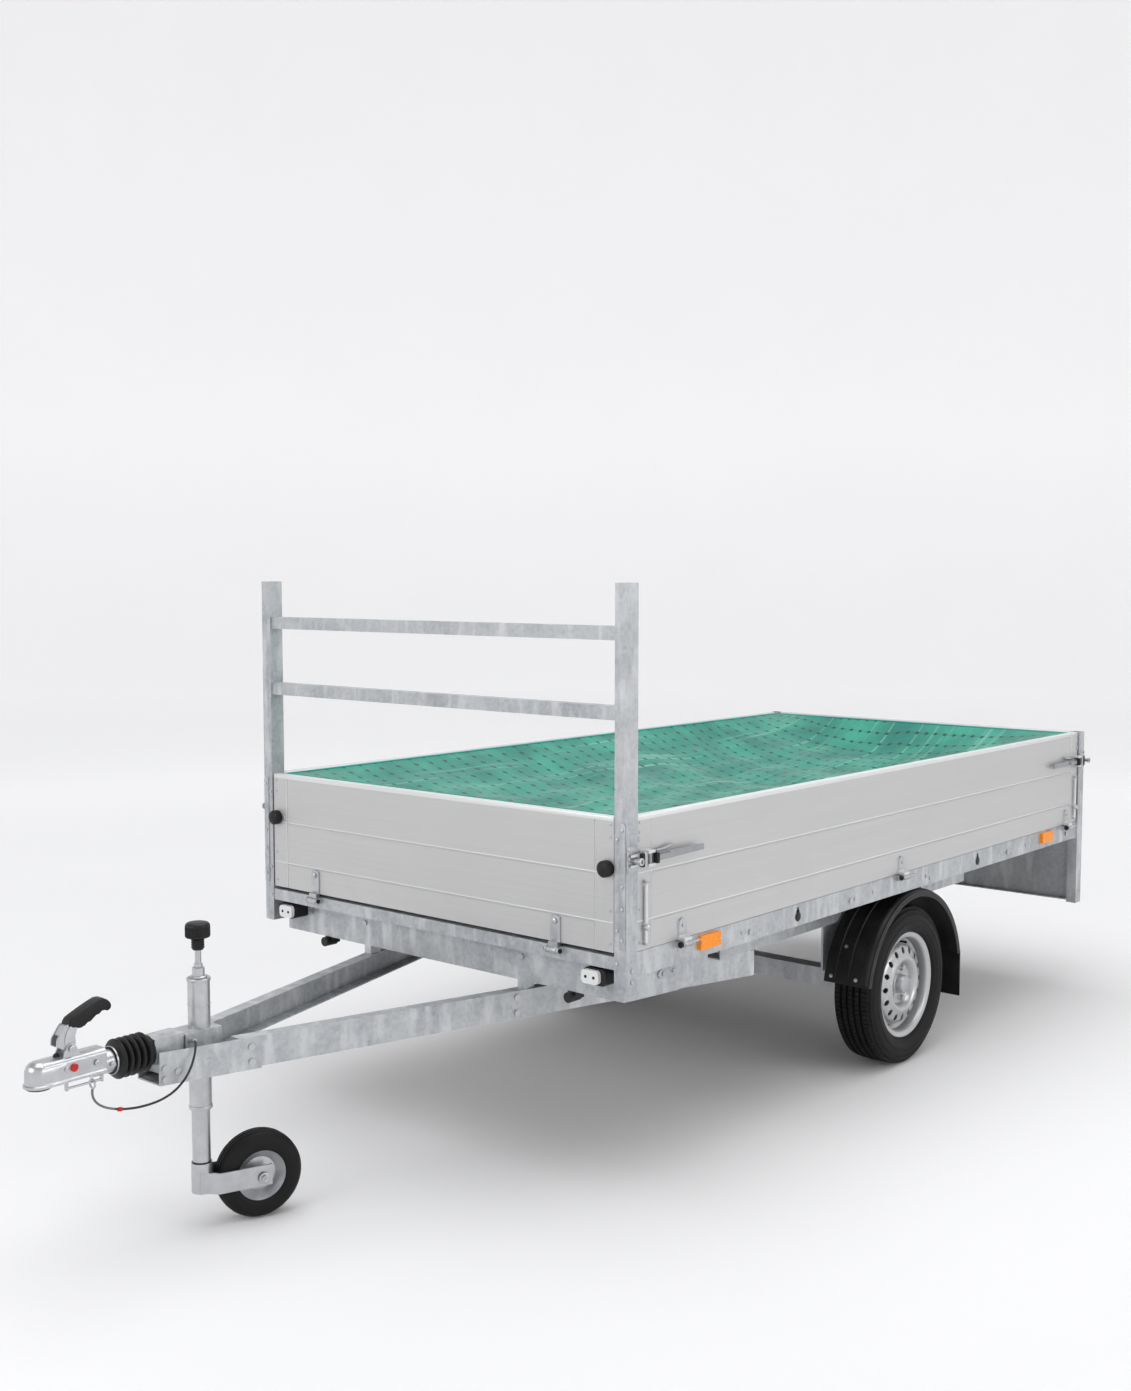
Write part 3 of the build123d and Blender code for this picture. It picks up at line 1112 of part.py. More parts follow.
with BuildPart() as cargo_net:
    # rim rope, then ropes across that hang as arcs, and ropes along
    box(-net_half, net_half, net_corner_front, net_corner_rear, net_top - NET_ROPE, net_top)
    cut_box(-net_half + NET_ROPE, net_half - NET_ROPE, net_corner_front + NET_ROPE,
            net_corner_rear - NET_ROPE, net_top - NET_ROPE, net_top)
    arc_pitch = (net_corner_rear - net_corner_front - NET_ROPE) / (NET_ARCS - 1)
    edge_z = net_top - NET_ROPE / 2
    for index in range(NET_ARCS):
        plane = Plane(origin=(0, net_corner_front + index * arc_pitch, 0), x_dir=(-1, 0, 0),
                      z_dir=(0, 1, 0))
        middle_z = net_height(0)
        with BuildSketch(plane):
            with BuildLine():
                ThreePointArc((-net_half, edge_z), (0, middle_z), (net_half, edge_z))
                Line((net_half, edge_z), (net_half, edge_z - NET_ROPE))
                ThreePointArc((net_half, edge_z - NET_ROPE), (0, middle_z - NET_ROPE),
                              (-net_half, edge_z - NET_ROPE))
                Line((-net_half, edge_z - NET_ROPE), (-net_half, edge_z))
            make_face()
        extrude(amount=NET_ROPE)
    for index in range(NET_BARS):
        x = net_half * (-0.84 + 1.68 * index / (NET_BARS - 1))
        z = net_height(x)
        box(x - NET_ROPE / 2, x + NET_ROPE / 2, net_corner_front, net_corner_rear,
            z - NET_ROPE, z + NET_ROPE / 2)
save(cargo_net.part, "cargo_net")
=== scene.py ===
"""Looks of the tow-behind flatbed cart: finishes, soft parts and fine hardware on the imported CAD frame.

All lengths are metres in the cart's own frame: +X is its left side, -Y its coupling end, +Z up.
"""

import json
import logging
import math
from dataclasses import dataclass, field
from enum import Enum
from typing import Any, Callable, Iterable, Sequence

import bpy
from mathutils import Matrix, Vector

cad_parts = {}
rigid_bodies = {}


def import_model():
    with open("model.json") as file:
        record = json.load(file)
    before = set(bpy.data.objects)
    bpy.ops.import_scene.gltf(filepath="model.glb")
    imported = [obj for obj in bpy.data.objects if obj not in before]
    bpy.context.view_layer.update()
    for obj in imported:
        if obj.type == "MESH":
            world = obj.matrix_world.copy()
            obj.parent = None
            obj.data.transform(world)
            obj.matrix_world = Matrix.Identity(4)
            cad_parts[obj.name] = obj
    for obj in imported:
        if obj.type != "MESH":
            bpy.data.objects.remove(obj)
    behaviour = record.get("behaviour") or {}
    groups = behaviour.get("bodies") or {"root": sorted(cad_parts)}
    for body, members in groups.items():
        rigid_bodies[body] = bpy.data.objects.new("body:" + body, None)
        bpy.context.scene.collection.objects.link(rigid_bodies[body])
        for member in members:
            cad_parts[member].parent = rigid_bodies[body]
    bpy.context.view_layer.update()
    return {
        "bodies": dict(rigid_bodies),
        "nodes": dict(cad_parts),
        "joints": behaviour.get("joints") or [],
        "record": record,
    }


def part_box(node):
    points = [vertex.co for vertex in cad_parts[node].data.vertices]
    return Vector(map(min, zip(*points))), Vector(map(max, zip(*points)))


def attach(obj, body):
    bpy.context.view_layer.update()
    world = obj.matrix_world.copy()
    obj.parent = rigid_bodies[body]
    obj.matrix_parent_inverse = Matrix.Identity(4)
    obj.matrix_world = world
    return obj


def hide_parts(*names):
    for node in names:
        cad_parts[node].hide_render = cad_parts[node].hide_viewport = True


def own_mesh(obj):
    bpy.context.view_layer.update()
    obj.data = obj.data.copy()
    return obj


logging.basicConfig(level=logging.INFO, format="%(levelname)s %(message)s")
LOG = logging.getLogger("cart")

Point = tuple[float, float, float]
Colour = tuple[float, float, float]

UP = Vector((0.0, 0.0, 1.0))
LEFT = Vector((1.0, 0.0, 0.0))
REAR = Vector((0.0, 1.0, 0.0))


class Side(Enum):
    """The two sides of the cart, as the sign of X."""

    LEFT = 1
    RIGHT = -1

    @property
    def label(self) -> str:
        """The side's name in lower case."""
        return self.name.lower()


class Slot(Enum):
    """The record's finish slots that new pieces take their look from."""

    GALVANISED = "galvanised_steel"
    ZINC = "zinc_plated_steel"
    ALUMINIUM = "anodised_aluminium"
    DECK = "deck_plywood"
    PLASTIC = "black_plastic"
    RUBBER = "black_rubber"
    TYRE = "tyre_rubber"
    WHEEL = "wheel_silver"
    HUB = "hub_steel"
    SHEATH = "cable_sheath"
    NET = "net_cord"
    RED = "red_lens"
    AMBER = "amber_lens"
    WHITE = "white_lens"


# --- materials ---------------------------------------------------------------------------


class Graph:
    """A material's node tree with short calls for the nodes that the finishes use."""

    def __init__(self, name: str) -> None:
        """Start a material with a Principled shader.

        Args:
            name: The material's name.
        """
        self.material = bpy.data.materials.new(name)
        self.material.use_nodes = True
        self.tree = self.material.node_tree
        self.shader = self.tree.nodes["Principled BSDF"]
        self.place = self.tree.nodes.new("ShaderNodeTexCoord").outputs["Object"]

    def set(self, **values: Any) -> None:
        """Set plain values on the shader's own sockets; underscores stand for spaces."""
        for key, value in values.items():
            self.shader.inputs[key.replace("_", " ")].default_value = value

    def feed(self, target: Any, source: Any) -> None:
        """Link a socket, or set it where the source is a plain value."""
        if isinstance(source, bpy.types.NodeSocket):
            self.tree.links.new(source, target)
        elif source is not None:
            target.default_value = source

    def stretched(self, scale: Point, place: Any = None) -> Any:
        """Coordinates scaled by a Mapping node.

        Args:
            scale: The factor on each axis.
            place: The coordinates to scale, Object coordinates if left out.

        Returns:
            The scaled coordinates' socket.
        """
        node = self.tree.nodes.new("ShaderNodeMapping")
        node.inputs["Scale"].default_value = scale
        self.feed(node.inputs["Vector"], place or self.place)
        return node.outputs["Vector"]

    def noise(self, scale: float, detail: float = 2.0, place: Any = None, rough: float = 0.5) -> Any:
        """Fractal noise.

        Args:
            scale: Cells per metre.
            detail: Octaves.
            place: The coordinates, Object coordinates if left out.
            rough: How much the fine octaves count.

        Returns:
            The noise value's socket.
        """
        node = self.tree.nodes.new("ShaderNodeTexNoise")
        node.inputs["Scale"].default_value = scale
        node.inputs["Detail"].default_value = detail
        node.inputs["Roughness"].default_value = rough
        self.feed(node.inputs["Vector"], place or self.place)
        return node.outputs["Fac"]

    def cells(self, scale: float, output: str = "Color", place: Any = None) -> Any:
        """Voronoi cells.

        Args:
            scale: Cells per metre.
            output: The wanted output, Color or Distance.
            place: The coordinates, Object coordinates if left out.

        Returns:
            The wanted output's socket.
        """
        node = self.tree.nodes.new("ShaderNodeTexVoronoi")
        node.inputs["Scale"].default_value = scale
        self.feed(node.inputs["Vector"], place or self.place)
        return node.outputs[output]

    def ramp(self, factor: Any, low: float, high: float, first: float = 0.0, last: float = 1.0) -> Any:
        """Map a value from one range to another, clamped.

        Args:
            factor: The value's socket.
            low: The value that gives first.
            high: The value that gives last.
            first: The result at low.
            last: The result at high.

        Returns:
            The result's socket.
        """
        node = self.tree.nodes.new("ShaderNodeMapRange")
        for key, value in (("From Min", low), ("From Max", high), ("To Min", first), ("To Max", last)):
            node.inputs[key].default_value = value
        self.feed(node.inputs["Value"], factor)
        return node.outputs["Result"]

    def mix(self, factor: Any, first: Any, second: Any) -> Any:
        """Blend two colours.

        Args:
            factor: 0 for the first, 1 for the second.
            first: A colour or a socket.
            second: A colour or a socket.

        Returns:
            The blended colour's socket.
        """
        node = self.tree.nodes.new("ShaderNodeMix")
        node.data_type = "RGBA"
        self.feed(node.inputs[0], factor)
        for socket, value in ((node.inputs[6], first), (node.inputs[7], second)):
            self.feed(socket, (*value, 1.0) if isinstance(value, tuple) else value)
        return node.outputs[2]

    def maths(self, operation: str, first: Any, second: Any = 0.0) -> Any:
        """One arithmetic step.

        Args:
            operation: The Math node's operation.
            first: A number or a socket.
            second: A number or a socket.

        Returns:
            The result's socket.
        """
        node = self.tree.nodes.new("ShaderNodeMath")
        node.operation = operation
        self.feed(node.inputs[0], first)
        self.feed(node.inputs[1], second)
        return node.outputs[0]

    def times(self, first: Any, second: Any) -> Any:
        """The product of two values."""
        return self.maths("MULTIPLY", first, second)

    def plus(self, first: Any, second: Any) -> Any:
        """The sum of two values."""
        return self.maths("ADD", first, second)

    def axes(self, place: Any) -> tuple[Any, Any, Any]:
        """The separate X, Y and Z of a coordinate."""
        node = self.tree.nodes.new("ShaderNodeSeparateXYZ")
        self.feed(node.inputs[0], place)
        return node.outputs[0], node.outputs[1], node.outputs[2]

    def colour(self, source: Any) -> None:
        """Link the base colour."""
        self.feed(self.shader.inputs["Base Color"], source)

    def roughness(self, source: Any) -> None:
        """Link the roughness."""
        self.feed(self.shader.inputs["Roughness"], source)

    def bump(self, height: Any, depth: float, strength: float = 1.0) -> None:
        """Raise the surface by a height pattern.

        Args:
            height: The pattern's socket.
            depth: The height in metres of a full step.
            strength: The bump's strength.
        """
        node = self.tree.nodes.new("ShaderNodeBump")
        node.inputs["Strength"].default_value = strength
        node.inputs["Distance"].default_value = depth
        self.feed(node.inputs["Height"], height)
        self.feed(self.shader.inputs["Normal"], node.outputs["Normal"])


@dataclass(frozen=True)
class Finish:
    """One finish of the cart: how a surface is coloured and how it shines."""

    slot: Slot
    colour: Colour
    roughness: float = 0.5
    metallic: float = 0.0

    def dress(self, graph: Graph) -> None:
        """Add this finish's own patterns to a graph that has the plain values set."""

    def material(self) -> bpy.types.Material:
        """Make the finish's material.

        Returns:
            The material, made once and shared by every piece in this finish.
        """
        tone = "_".join(f"{round(100 * c):02d}" for c in self.colour)
        name = f"finish_{self.slot.value}_{tone}"
        known = bpy.data.materials.get(name)
        if known is not None:
            return known
        graph = Graph(name)
        graph.set(Base_Color=(*self.colour, 1.0), Roughness=self.roughness, Metallic=self.metallic)
        self.dress(graph)
        return graph.material


@dataclass(frozen=True)
class Galvanised(Finish):
    """Hot-dip zinc: small crystal spangles under cloudy stains and runs."""

    stain: Colour = (0.66, 0.67, 0.68)
    dark: Colour = (0.325, 0.34, 0.36)
    spangle_scale: float = 95.0

    def dress(self, graph: Graph) -> None:
        """Lay spangles, clouds and pale runs over the zinc."""
        spangle = graph.ramp(graph.cells(self.spangle_scale), 0.15, 0.85)
        clouds = graph.ramp(graph.noise(6.5, 5.0, rough=0.62), 0.34, 0.66)
        runs = graph.ramp(graph.noise(5.0, 4.0, graph.stretched((5.0, 5.0, 1.2))), 0.50, 0.68)
        specks = graph.ramp(graph.noise(150.0, 2.0), 0.60, 0.78)
        base = graph.mix(clouds, self.dark, self.colour)
        base = graph.mix(graph.times(spangle, 0.30), base, self.stain)
        base = graph.mix(graph.times(runs, 0.62), base, self.stain)
        base = graph.mix(graph.times(specks, 0.25), base, self.dark)
        graph.colour(base)
        rough = graph.ramp(clouds, 0.0, 1.0, self.roughness + 0.12, self.roughness - 0.04)
        graph.roughness(graph.plus(rough, graph.times(spangle, 0.10)))
        graph.bump(graph.plus(spangle, graph.noise(45.0, 3.0)), 0.00022, 0.55)


@dataclass(frozen=True)
class ZincPlated(Finish):
    """Bright zinc plate on pressed and turned parts."""

    def dress(self, graph: Graph) -> None:
        """Lay faint clouding, drawn lines and handling marks over the plate."""
        clouds = graph.ramp(graph.noise(22.0, 4.0, rough=0.6), 0.32, 0.70)
        marks = graph.ramp(graph.noise(90.0, 3.0, graph.stretched((1.0, 1.0, 4.0))), 0.52, 0.74)
        tarnish: Colour = tuple(0.82 * c for c in self.colour)
        base = graph.mix(clouds, tarnish, self.colour)
        graph.colour(graph.mix(graph.times(marks, 0.3), base, tarnish))
        graph.roughness(graph.ramp(marks, 0.0, 1.0, self.roughness, self.roughness + 0.10))
        graph.bump(graph.noise(120.0, 2.0), 0.00003, 0.3)


@dataclass(frozen=True)
class Anodised(Finish):
    """Satin anodised planks with the fine lines of the extrusion along them."""

    def dress(self, graph: Graph) -> None:
        """Lay the die lines, slow tone changes and faint dust over the planks."""
        lines = graph.noise(1.0, 3.0, graph.stretched((1.2, 1.2, 520.0)), rough=0.7)
        bands = graph.noise(1.0, 2.0, graph.stretched((0.5, 0.5, 26.0)))
        tone = graph.ramp(bands, 0.25, 0.75)
        dust = graph.ramp(graph.noise(3.5, 4.0), 0.45, 0.75)
        darker: Colour = tuple(0.86 * c for c in self.colour)
        base = graph.mix(graph.ramp(lines, 0.3, 0.7), darker, self.colour)
        base = graph.mix(graph.times(tone, 0.35), base, self.colour)
        graph.colour(graph.mix(graph.times(dust, 0.25), base, darker))
        graph.roughness(graph.ramp(lines, 0.25, 0.75, self.roughness - 0.05, self.roughness + 0.09))
        graph.bump(lines, 0.00012, 0.35)


@dataclass(frozen=True)
class Grained(Finish):
    """Moulded plastic or rubber: a dark skin with a fine grain and a little dust."""

    grain: float = 420.0
    depth: float = 0.00022
    dust: float = 0.14

    def dress(self, graph: Graph) -> None:
        """Lay the grain and the dust over the skin."""
        grain = graph.noise(self.grain, 3.0, rough=0.6)
        clouds = graph.ramp(graph.noise(9.0, 4.0), 0.42, 0.76)
        pale: Colour = tuple(min(1.0, 2.4 * c + 0.022) for c in self.colour)
        graph.colour(graph.mix(graph.times(clouds, self.dust * 3.0), self.colour, pale))
        graph.roughness(graph.ramp(grain, 0.3, 0.7, self.roughness - 0.07, self.roughness + 0.10))
        graph.set(Specular_IOR_Level=0.30)
        graph.bump(grain, self.depth, 0.6)


@dataclass(frozen=True)
class Sheath(Finish):
    """Cable sheath: clear over grey wire at the ring's end, black from the ferrule on."""

    wire: Colour = (0.20, 0.205, 0.21)
    seam: float = -1.9775

    def dress(self, graph: Graph) -> None:
        """Change the tone at the ferrule and lay a fine lay line over the sheath."""
        _, along, _ = graph.axes(graph.place)
        lay = graph.ramp(graph.noise(700.0, 2.0), 0.35, 0.65)
        wire = graph.mix(lay, self.wire, tuple(0.6 * c for c in self.wire))
        dark = graph.mix(lay, self.colour, tuple(1.6 * c for c in self.colour))
        graph.colour(graph.mix(graph.ramp(along, self.seam - 0.001, self.seam + 0.001), wire, dark))
        graph.roughness(graph.ramp(lay, 0.0, 1.0, self.roughness, self.roughness + 0.12))
        graph.bump(lay, 0.00006, 0.4)


@dataclass(frozen=True)
class TyreRubber(Finish):
    """Black tyre rubber with fine moulded rings and dust in its grain."""

    def dress(self, graph: Graph) -> None:
        """Lay the grain, the wear tone and the dust over the rubber."""
        grain = graph.noise(600.0, 2.0)
        clouds = graph.ramp(graph.noise(14.0, 5.0, rough=0.65), 0.40, 0.72)
        pale: Colour = (0.015, 0.015, 0.0145)
        graph.colour(graph.mix(graph.times(clouds, 0.5), self.colour, pale))
        graph.roughness(graph.ramp(clouds, 0.0, 1.0, self.roughness, self.roughness + 0.14))
        graph.set(Specular_IOR_Level=0.22)
        graph.bump(grain, 0.00016, 0.5)


@dataclass(frozen=True)
class WheelPaint(Finish):
    """Silver wheel lacquer with fine metal flake."""

    def dress(self, graph: Graph) -> None:
        """Lay the flake and a light road film under a clear coat."""
        flake = graph.ramp(graph.cells(1500.0), 0.1, 0.9)
        film = graph.ramp(graph.noise(16.0, 4.0), 0.46, 0.76)
        shade: Colour = tuple(0.80 * c for c in self.colour)
        base = graph.mix(graph.times(flake, 0.5), self.colour, shade)
        graph.colour(graph.mix(graph.times(film, 0.14), base, tuple(0.62 * c for c in self.colour)))
        graph.roughness(graph.ramp(film, 0.0, 1.0, self.roughness, self.roughness + 0.16))
        graph.set(Coat_Weight=0.35, Coat_Roughness=0.12)
        graph.bump(graph.noise(240.0, 2.0), 0.00006, 0.4)


@dataclass(frozen=True)
class DeckFilm(Finish):
    """Film-faced plywood with a small pressed grid and a ply edge tone."""

    def dress(self, graph: Graph) -> None:
        """Lay the pressed grid and scuffs over the film."""
        grid = graph.ramp(graph.cells(150.0, "Distance", graph.stretched((1.0, 1.0, 0.02))), 0.15, 0.55)
        scuffs = graph.ramp(graph.noise(7.0, 5.0, rough=0.7), 0.45, 0.72)
        worn: Colour = (0.17, 0.125, 0.09)
        graph.colour(graph.mix(graph.times(scuffs, 0.6), self.colour, worn))
        graph.roughness(graph.ramp(scuffs, 0.0, 1.0, self.roughness, self.roughness + 0.2))
        graph.bump(grid, 0.0004, 0.6)


@dataclass(frozen=True)
class Lens(Finish):
    """A moulded lens with small prisms behind a smooth face."""

    prism_scale: float = 260.0
    contrast: float = 0.18

    def dress(self, graph: Graph) -> None:
        """Lay the prism tones and a clear, glossy face."""
        prism = graph.ramp(graph.cells(self.prism_scale), 0.2, 0.8)
        deep: Colour = tuple((1.0 - self.contrast) * c for c in self.colour)
        graph.colour(graph.mix(prism, deep, self.colour))
        graph.roughness(graph.ramp(prism, 0.0, 1.0, self.roughness, self.roughness + 0.10))
        graph.set(Coat_Weight=0.20, Coat_Roughness=0.08, Specular_IOR_Level=0.35)
        graph.bump(prism, 0.0005 * self.contrast, 0.3)


@dataclass(frozen=True)
class NetCloth(Finish):
    """Knitted teal netting: fine mesh, pale warp lines, rows of darker knots and painted shade in its folds,
    on its UV map.
    """

    size: tuple[float, float] = (1.43, 2.94)
    knot: Colour = (0.0, 0.055, 0.045)
    warp: Colour = (0.34, 0.66, 0.54)
    row_pitch: float = 0.078
    knot_pitch: float = 0.045
    mesh_pitch: float = 0.0085

    def dress(self, graph: Graph) -> None:
        """Lay the mesh, the warp lines, the knots and the painted fold shade, all in metres on the cloth."""
        uv = graph.tree.nodes.new("ShaderNodeUVMap")
        cloth = graph.stretched((*self.size, 1.0), uv.outputs["UV"])
        sway = graph.ramp(graph.noise(1.9, 2.0, cloth), 0.25, 0.75, -0.034, 0.034)
        across, along, _ = graph.axes(cloth)
        along = graph.plus(along, sway)
        row = self.wave(graph, along, self.row_pitch)
        dot = self.wave(graph, graph.plus(across, graph.times(sway, 0.3)), self.knot_pitch)
        far_row = graph.times(graph.maths("SUBTRACT", 0.5, row), self.row_pitch)
        far_dot = graph.times(graph.maths("SUBTRACT", 0.5, dot), self.knot_pitch)
        spread = graph.plus(graph.maths("POWER", far_row, 2.0), graph.maths("POWER", far_dot, 2.0))
        knots = graph.ramp(graph.maths("SQRT", spread), 0.0078, 0.0104, 1.0, 0.0)
        thread = graph.ramp(row, 0.455, 0.495)
        mesh_a = self.wave(graph, graph.plus(across, along), self.mesh_pitch)
        mesh_b = self.wave(graph, graph.maths("SUBTRACT", across, along), self.mesh_pitch)
        mesh = graph.ramp(graph.maths("MAXIMUM", mesh_a, mesh_b), 0.26, 0.46)
        strands = graph.ramp(graph.noise(1.0, 3.0, graph.stretched((46.0, 0.9, 1.0), cloth)), 0.58, 0.70)
        # Painted shade: patches of darker teal stand in for the shade in the net's folds and sag.
        fold_shade = graph.ramp(graph.noise(5.0, 3.0, cloth), 0.35, 0.68)
        # deep is the teal in painted shade; it also darkens the mesh lines.
        deep: Colour = (0.10 * self.colour[0], 0.50 * self.colour[1], 0.56 * self.colour[2])
        base = graph.mix(fold_shade, deep, self.colour)
        base = graph.mix(graph.times(mesh, 0.40), base, deep)
        base = graph.mix(graph.times(strands, 0.45), base, self.warp)
        base = graph.mix(graph.times(thread, 0.45), base, self.knot)
        graph.colour(graph.mix(knots, base, self.knot))
        graph.roughness(graph.ramp(mesh, 0.0, 1.0, self.roughness, self.roughness + 0.15))
        graph.set(Alpha=0.90, Sheen_Weight=0.25, Sheen_Roughness=0.4)
        graph.bump(graph.plus(graph.times(mesh, 0.35), knots), 0.0012, 0.7)

    @staticmethod
    def wave(graph: Graph, value: Any, pitch: float) -> Any:
        """A triangle wave: 0.5 on each line of a pitch, 0 halfway between them."""
        share = graph.maths("FRACT", graph.maths("DIVIDE", value, pitch))
        return graph.maths("ABSOLUTE", graph.maths("SUBTRACT", share, 0.5))


GALVANISED = Galvanised(Slot.GALVANISED, (0.46, 0.475, 0.490), 0.38, 0.55)
ZINC = ZincPlated(Slot.ZINC, (0.55, 0.56, 0.575), 0.30, 0.85)
# Painted shade: a darker copy of the zinc for the latch levers, standing in for the shade along their edges.
SHADED_LEVER_ZINC = ZincPlated(Slot.ZINC, (0.36, 0.37, 0.39), 0.30, 0.80)
# Painted light: a lighter, less metallic copy of the zinc makes the upright rods look lit.
LIT_ROD_ZINC = ZincPlated(Slot.ZINC, (0.74, 0.75, 0.76), 0.32, 0.35)
ALUMINIUM = Anodised(Slot.ALUMINIUM, (0.56, 0.56, 0.56), 0.42, 0.45)
# Painted highlight: a lighter copy of the anodised aluminium for the top profiles, joint beads and end
# ridges, standing in for the light caught on the panels' top edges and grooves.
HIGHLIGHT_ALUMINIUM = Anodised(Slot.ALUMINIUM, (0.74, 0.74, 0.74), 0.34, 0.30)
DECK = DeckFilm(Slot.DECK, (0.070, 0.048, 0.036), 0.42)
PLASTIC = Grained(Slot.PLASTIC, (0.007, 0.007, 0.0075), 0.42)
RUBBER = Grained(Slot.RUBBER, (0.007, 0.007, 0.007), 0.40, 0.0, 300.0, 0.00010, 0.08)
TYRE = TyreRubber(Slot.TYRE, (0.006, 0.006, 0.006), 0.56)
WHEEL = WheelPaint(Slot.WHEEL, (0.50, 0.505, 0.51), 0.30, 0.70)
HUB = ZincPlated(Slot.HUB, (0.50, 0.51, 0.53), 0.36, 0.80)
SHEATH = Sheath(Slot.SHEATH, (0.012, 0.012, 0.012), 0.34)
NET = NetCloth(Slot.NET, (0.030, 0.37, 0.255), 0.55)
HEM = Grained(Slot.NET, (0.02, 0.30, 0.24), 0.6, 0.0, 700.0, 0.0004, 0.05)
RED = Lens(Slot.RED, (0.55, 0.010, 0.008), 0.16)
AMBER = Lens(Slot.AMBER, (1.0, 0.30, 0.0), 0.40)
WHITE = Lens(Slot.WHITE, (0.72, 0.73, 0.73), 0.20, 0.0, 700.0, 0.03)

NODE_FINISHES: dict[Finish, tuple[str, ...]] = {
    GALVANISED: (
        "side_beams", "front_beam", "cross_members", "front_hinge_rail", "corner_posts",
        "ladder_rack", "drawbar_legs", "drawbar_yoke", "overrun_housing", "jockey_bracket",
        "axle_rails", "axle_tube", "light_board", "swing_arm_left", "swing_arm_right",
    ),
    ZINC: (
        "frame_bolts", "hinge_brackets", "post_latch_pins", "front_panel_fittings",
        "tailgate_fittings", "coupling_head", "draw_shaft", "coupling_handle", "cable_hook",
        "jockey_outer_tube", "jockey_inner_tube", "jockey_spindle", "jockey_fork", "jockey_rim",
    ),
    # The latch levers take the darker zinc of painted shade.
    SHADED_LEVER_ZINC: (
        "latch_lever_left_front", "latch_lever_left_rear", "latch_lever_right_front",
        "latch_lever_right_rear", "latch_lever_tail_left", "latch_lever_tail_right",
    ),
    # The upright rods take the lighter zinc of painted light.
    LIT_ROD_ZINC: ("side_fittings_left", "side_fittings_right"),
    ALUMINIUM: ("front_panel", "tailgate", "side_panel_left", "side_panel_right"),
    DECK: ("deck_board",),
    PLASTIC: ("mudguards", "front_marker_housings", "lashing_hooks"),
    WHEEL: ("wheel_rim_left", "wheel_rim_right"),
    HUB: ("wheel_hub_left", "wheel_hub_right"),
    AMBER: ("side_reflectors",),
    RED: ("rear_lights",),
    WHITE: ("front_marker_lenses",),
}


# --- modelling helpers -------------------------------------------------------------------


def deselect() -> None:
    """Leave edit mode and deselect everything."""
    if bpy.context.object is not None and bpy.context.object.mode != "OBJECT":
        bpy.ops.object.mode_set(mode="OBJECT")
    bpy.ops.object.select_all(action="DESELECT")


def only(piece: bpy.types.Object) -> bpy.types.Object:
    """Select one object and make it active."""
    deselect()
    piece.select_set(True)
    bpy.context.view_layer.objects.active = piece
    return piece


def outline(name: str, points: Sequence[Sequence[float]], filled: bool) -> bpy.types.Object:
    """Add a circle with a vertex for each point and move its vertices onto the points.

    Args:
        name: The new object's name.
        points: The closed outline, in order.
        filled: Whether a face fills it.

    Returns:
        The new object.
    """
    deselect()
    bpy.ops.mesh.primitive_circle_add(
        vertices=len(points), radius=0.05, fill_type="NGON" if filled else "NOTHING"
    )
    piece = bpy.context.object
    piece.name = piece.data.name = name
    for vertex, point in zip(piece.data.vertices, points):
        vertex.co = point
    return piece


def tidy_mesh(piece: bpy.types.Object, merge: float = 0.00001) -> None:
    """Merge doubled vertices and turn the faces outwards."""
    only(piece)
    bpy.ops.object.mode_set(mode="EDIT")
    bpy.ops.mesh.select_all(action="SELECT")
    bpy.ops.mesh.remove_doubles(threshold=merge)
    bpy.ops.mesh.normals_make_consistent(inside=False)
    bpy.ops.object.mode_set(mode="OBJECT")


def turned(
    name: str, section: Sequence[tuple[float, float]], centre: Vector, axis: Vector, steps: int = 64
) -> bpy.types.Object:
    """Spin a closed section into a ring or a solid of revolution.

    Args:
        name: The new object's name.
        section: Points as (distance along the axis, radius), closed.
        centre: The point on the axis that the distances start from.
        axis: The axis' direction.
        steps: Divisions round the turn.

    Returns:
        The new object.
    """
    along = axis.normalized()
    out = along.orthogonal().normalized()
    piece = outline(name, [centre + along * a + out * r for a, r in section], False)
    only(piece)
    bpy.ops.object.mode_set(mode="EDIT")
    bpy.ops.mesh.select_all(action="SELECT")
    bpy.ops.mesh.spin(steps=steps, angle=2 * math.pi, center=centre, axis=along)
    bpy.ops.object.mode_set(mode="OBJECT")
    tidy_mesh(piece)
    return piece


def plate(name: str, points: Sequence[Vector], depth: Vector) -> bpy.types.Object:
    """Extrude a flat outline into a plate.

    Args:
        name: The new object's name.
        points: The outline, in order.
        depth: The direction and length of the extrusion.

    Returns:
        The new object.
    """
    piece = outline(name, points, True)
    only(piece)
    bpy.ops.object.mode_set(mode="EDIT")
    bpy.ops.mesh.select_all(action="SELECT")
    bpy.ops.mesh.extrude_region_move(TRANSFORM_OT_translate={"value": depth})
    bpy.ops.object.mode_set(mode="OBJECT")
    tidy_mesh(piece)
    return piece


def apply_modifier(piece: bpy.types.Object, kind: str, **values: Any) -> None:
    """Add a modifier, set it and apply it.

    Args:
        piece: The object.
        kind: The modifier's type.
        **values: Its settings.
    """
    only(piece)
    modifier = piece.modifiers.new(kind.lower(), kind)
    for key, value in values.items():
        setattr(modifier, key, value)
    bpy.ops.object.modifier_apply(modifier=modifier.name)


def rounded(piece: bpy.types.Object, width: float, segments: int = 2, angle: float = 30.0) -> None:
    """Round an object's edges that are sharper than an angle in degrees."""
    apply_modifier(
        piece, "BEVEL", width=width, segments=segments, limit_method="ANGLE",
        angle_limit=math.radians(angle), harden_normals=False,
    )


def select_faces(piece: bpy.types.Object, test: Callable[[Any], bool]) -> None:
    """Go into edit mode with only the faces that pass a test selected.

    Args:
        piece: The object.
        test: Takes a mesh polygon and says whether it is wanted.
    """
    only(piece)
    bpy.ops.object.mode_set(mode="EDIT")
    bpy.ops.mesh.select_mode(type="FACE")
    bpy.ops.mesh.select_all(action="DESELECT")
    bpy.ops.object.mode_set(mode="OBJECT")
    for polygon in piece.data.polygons:
        polygon.select = test(polygon)
    bpy.ops.object.mode_set(mode="EDIT")


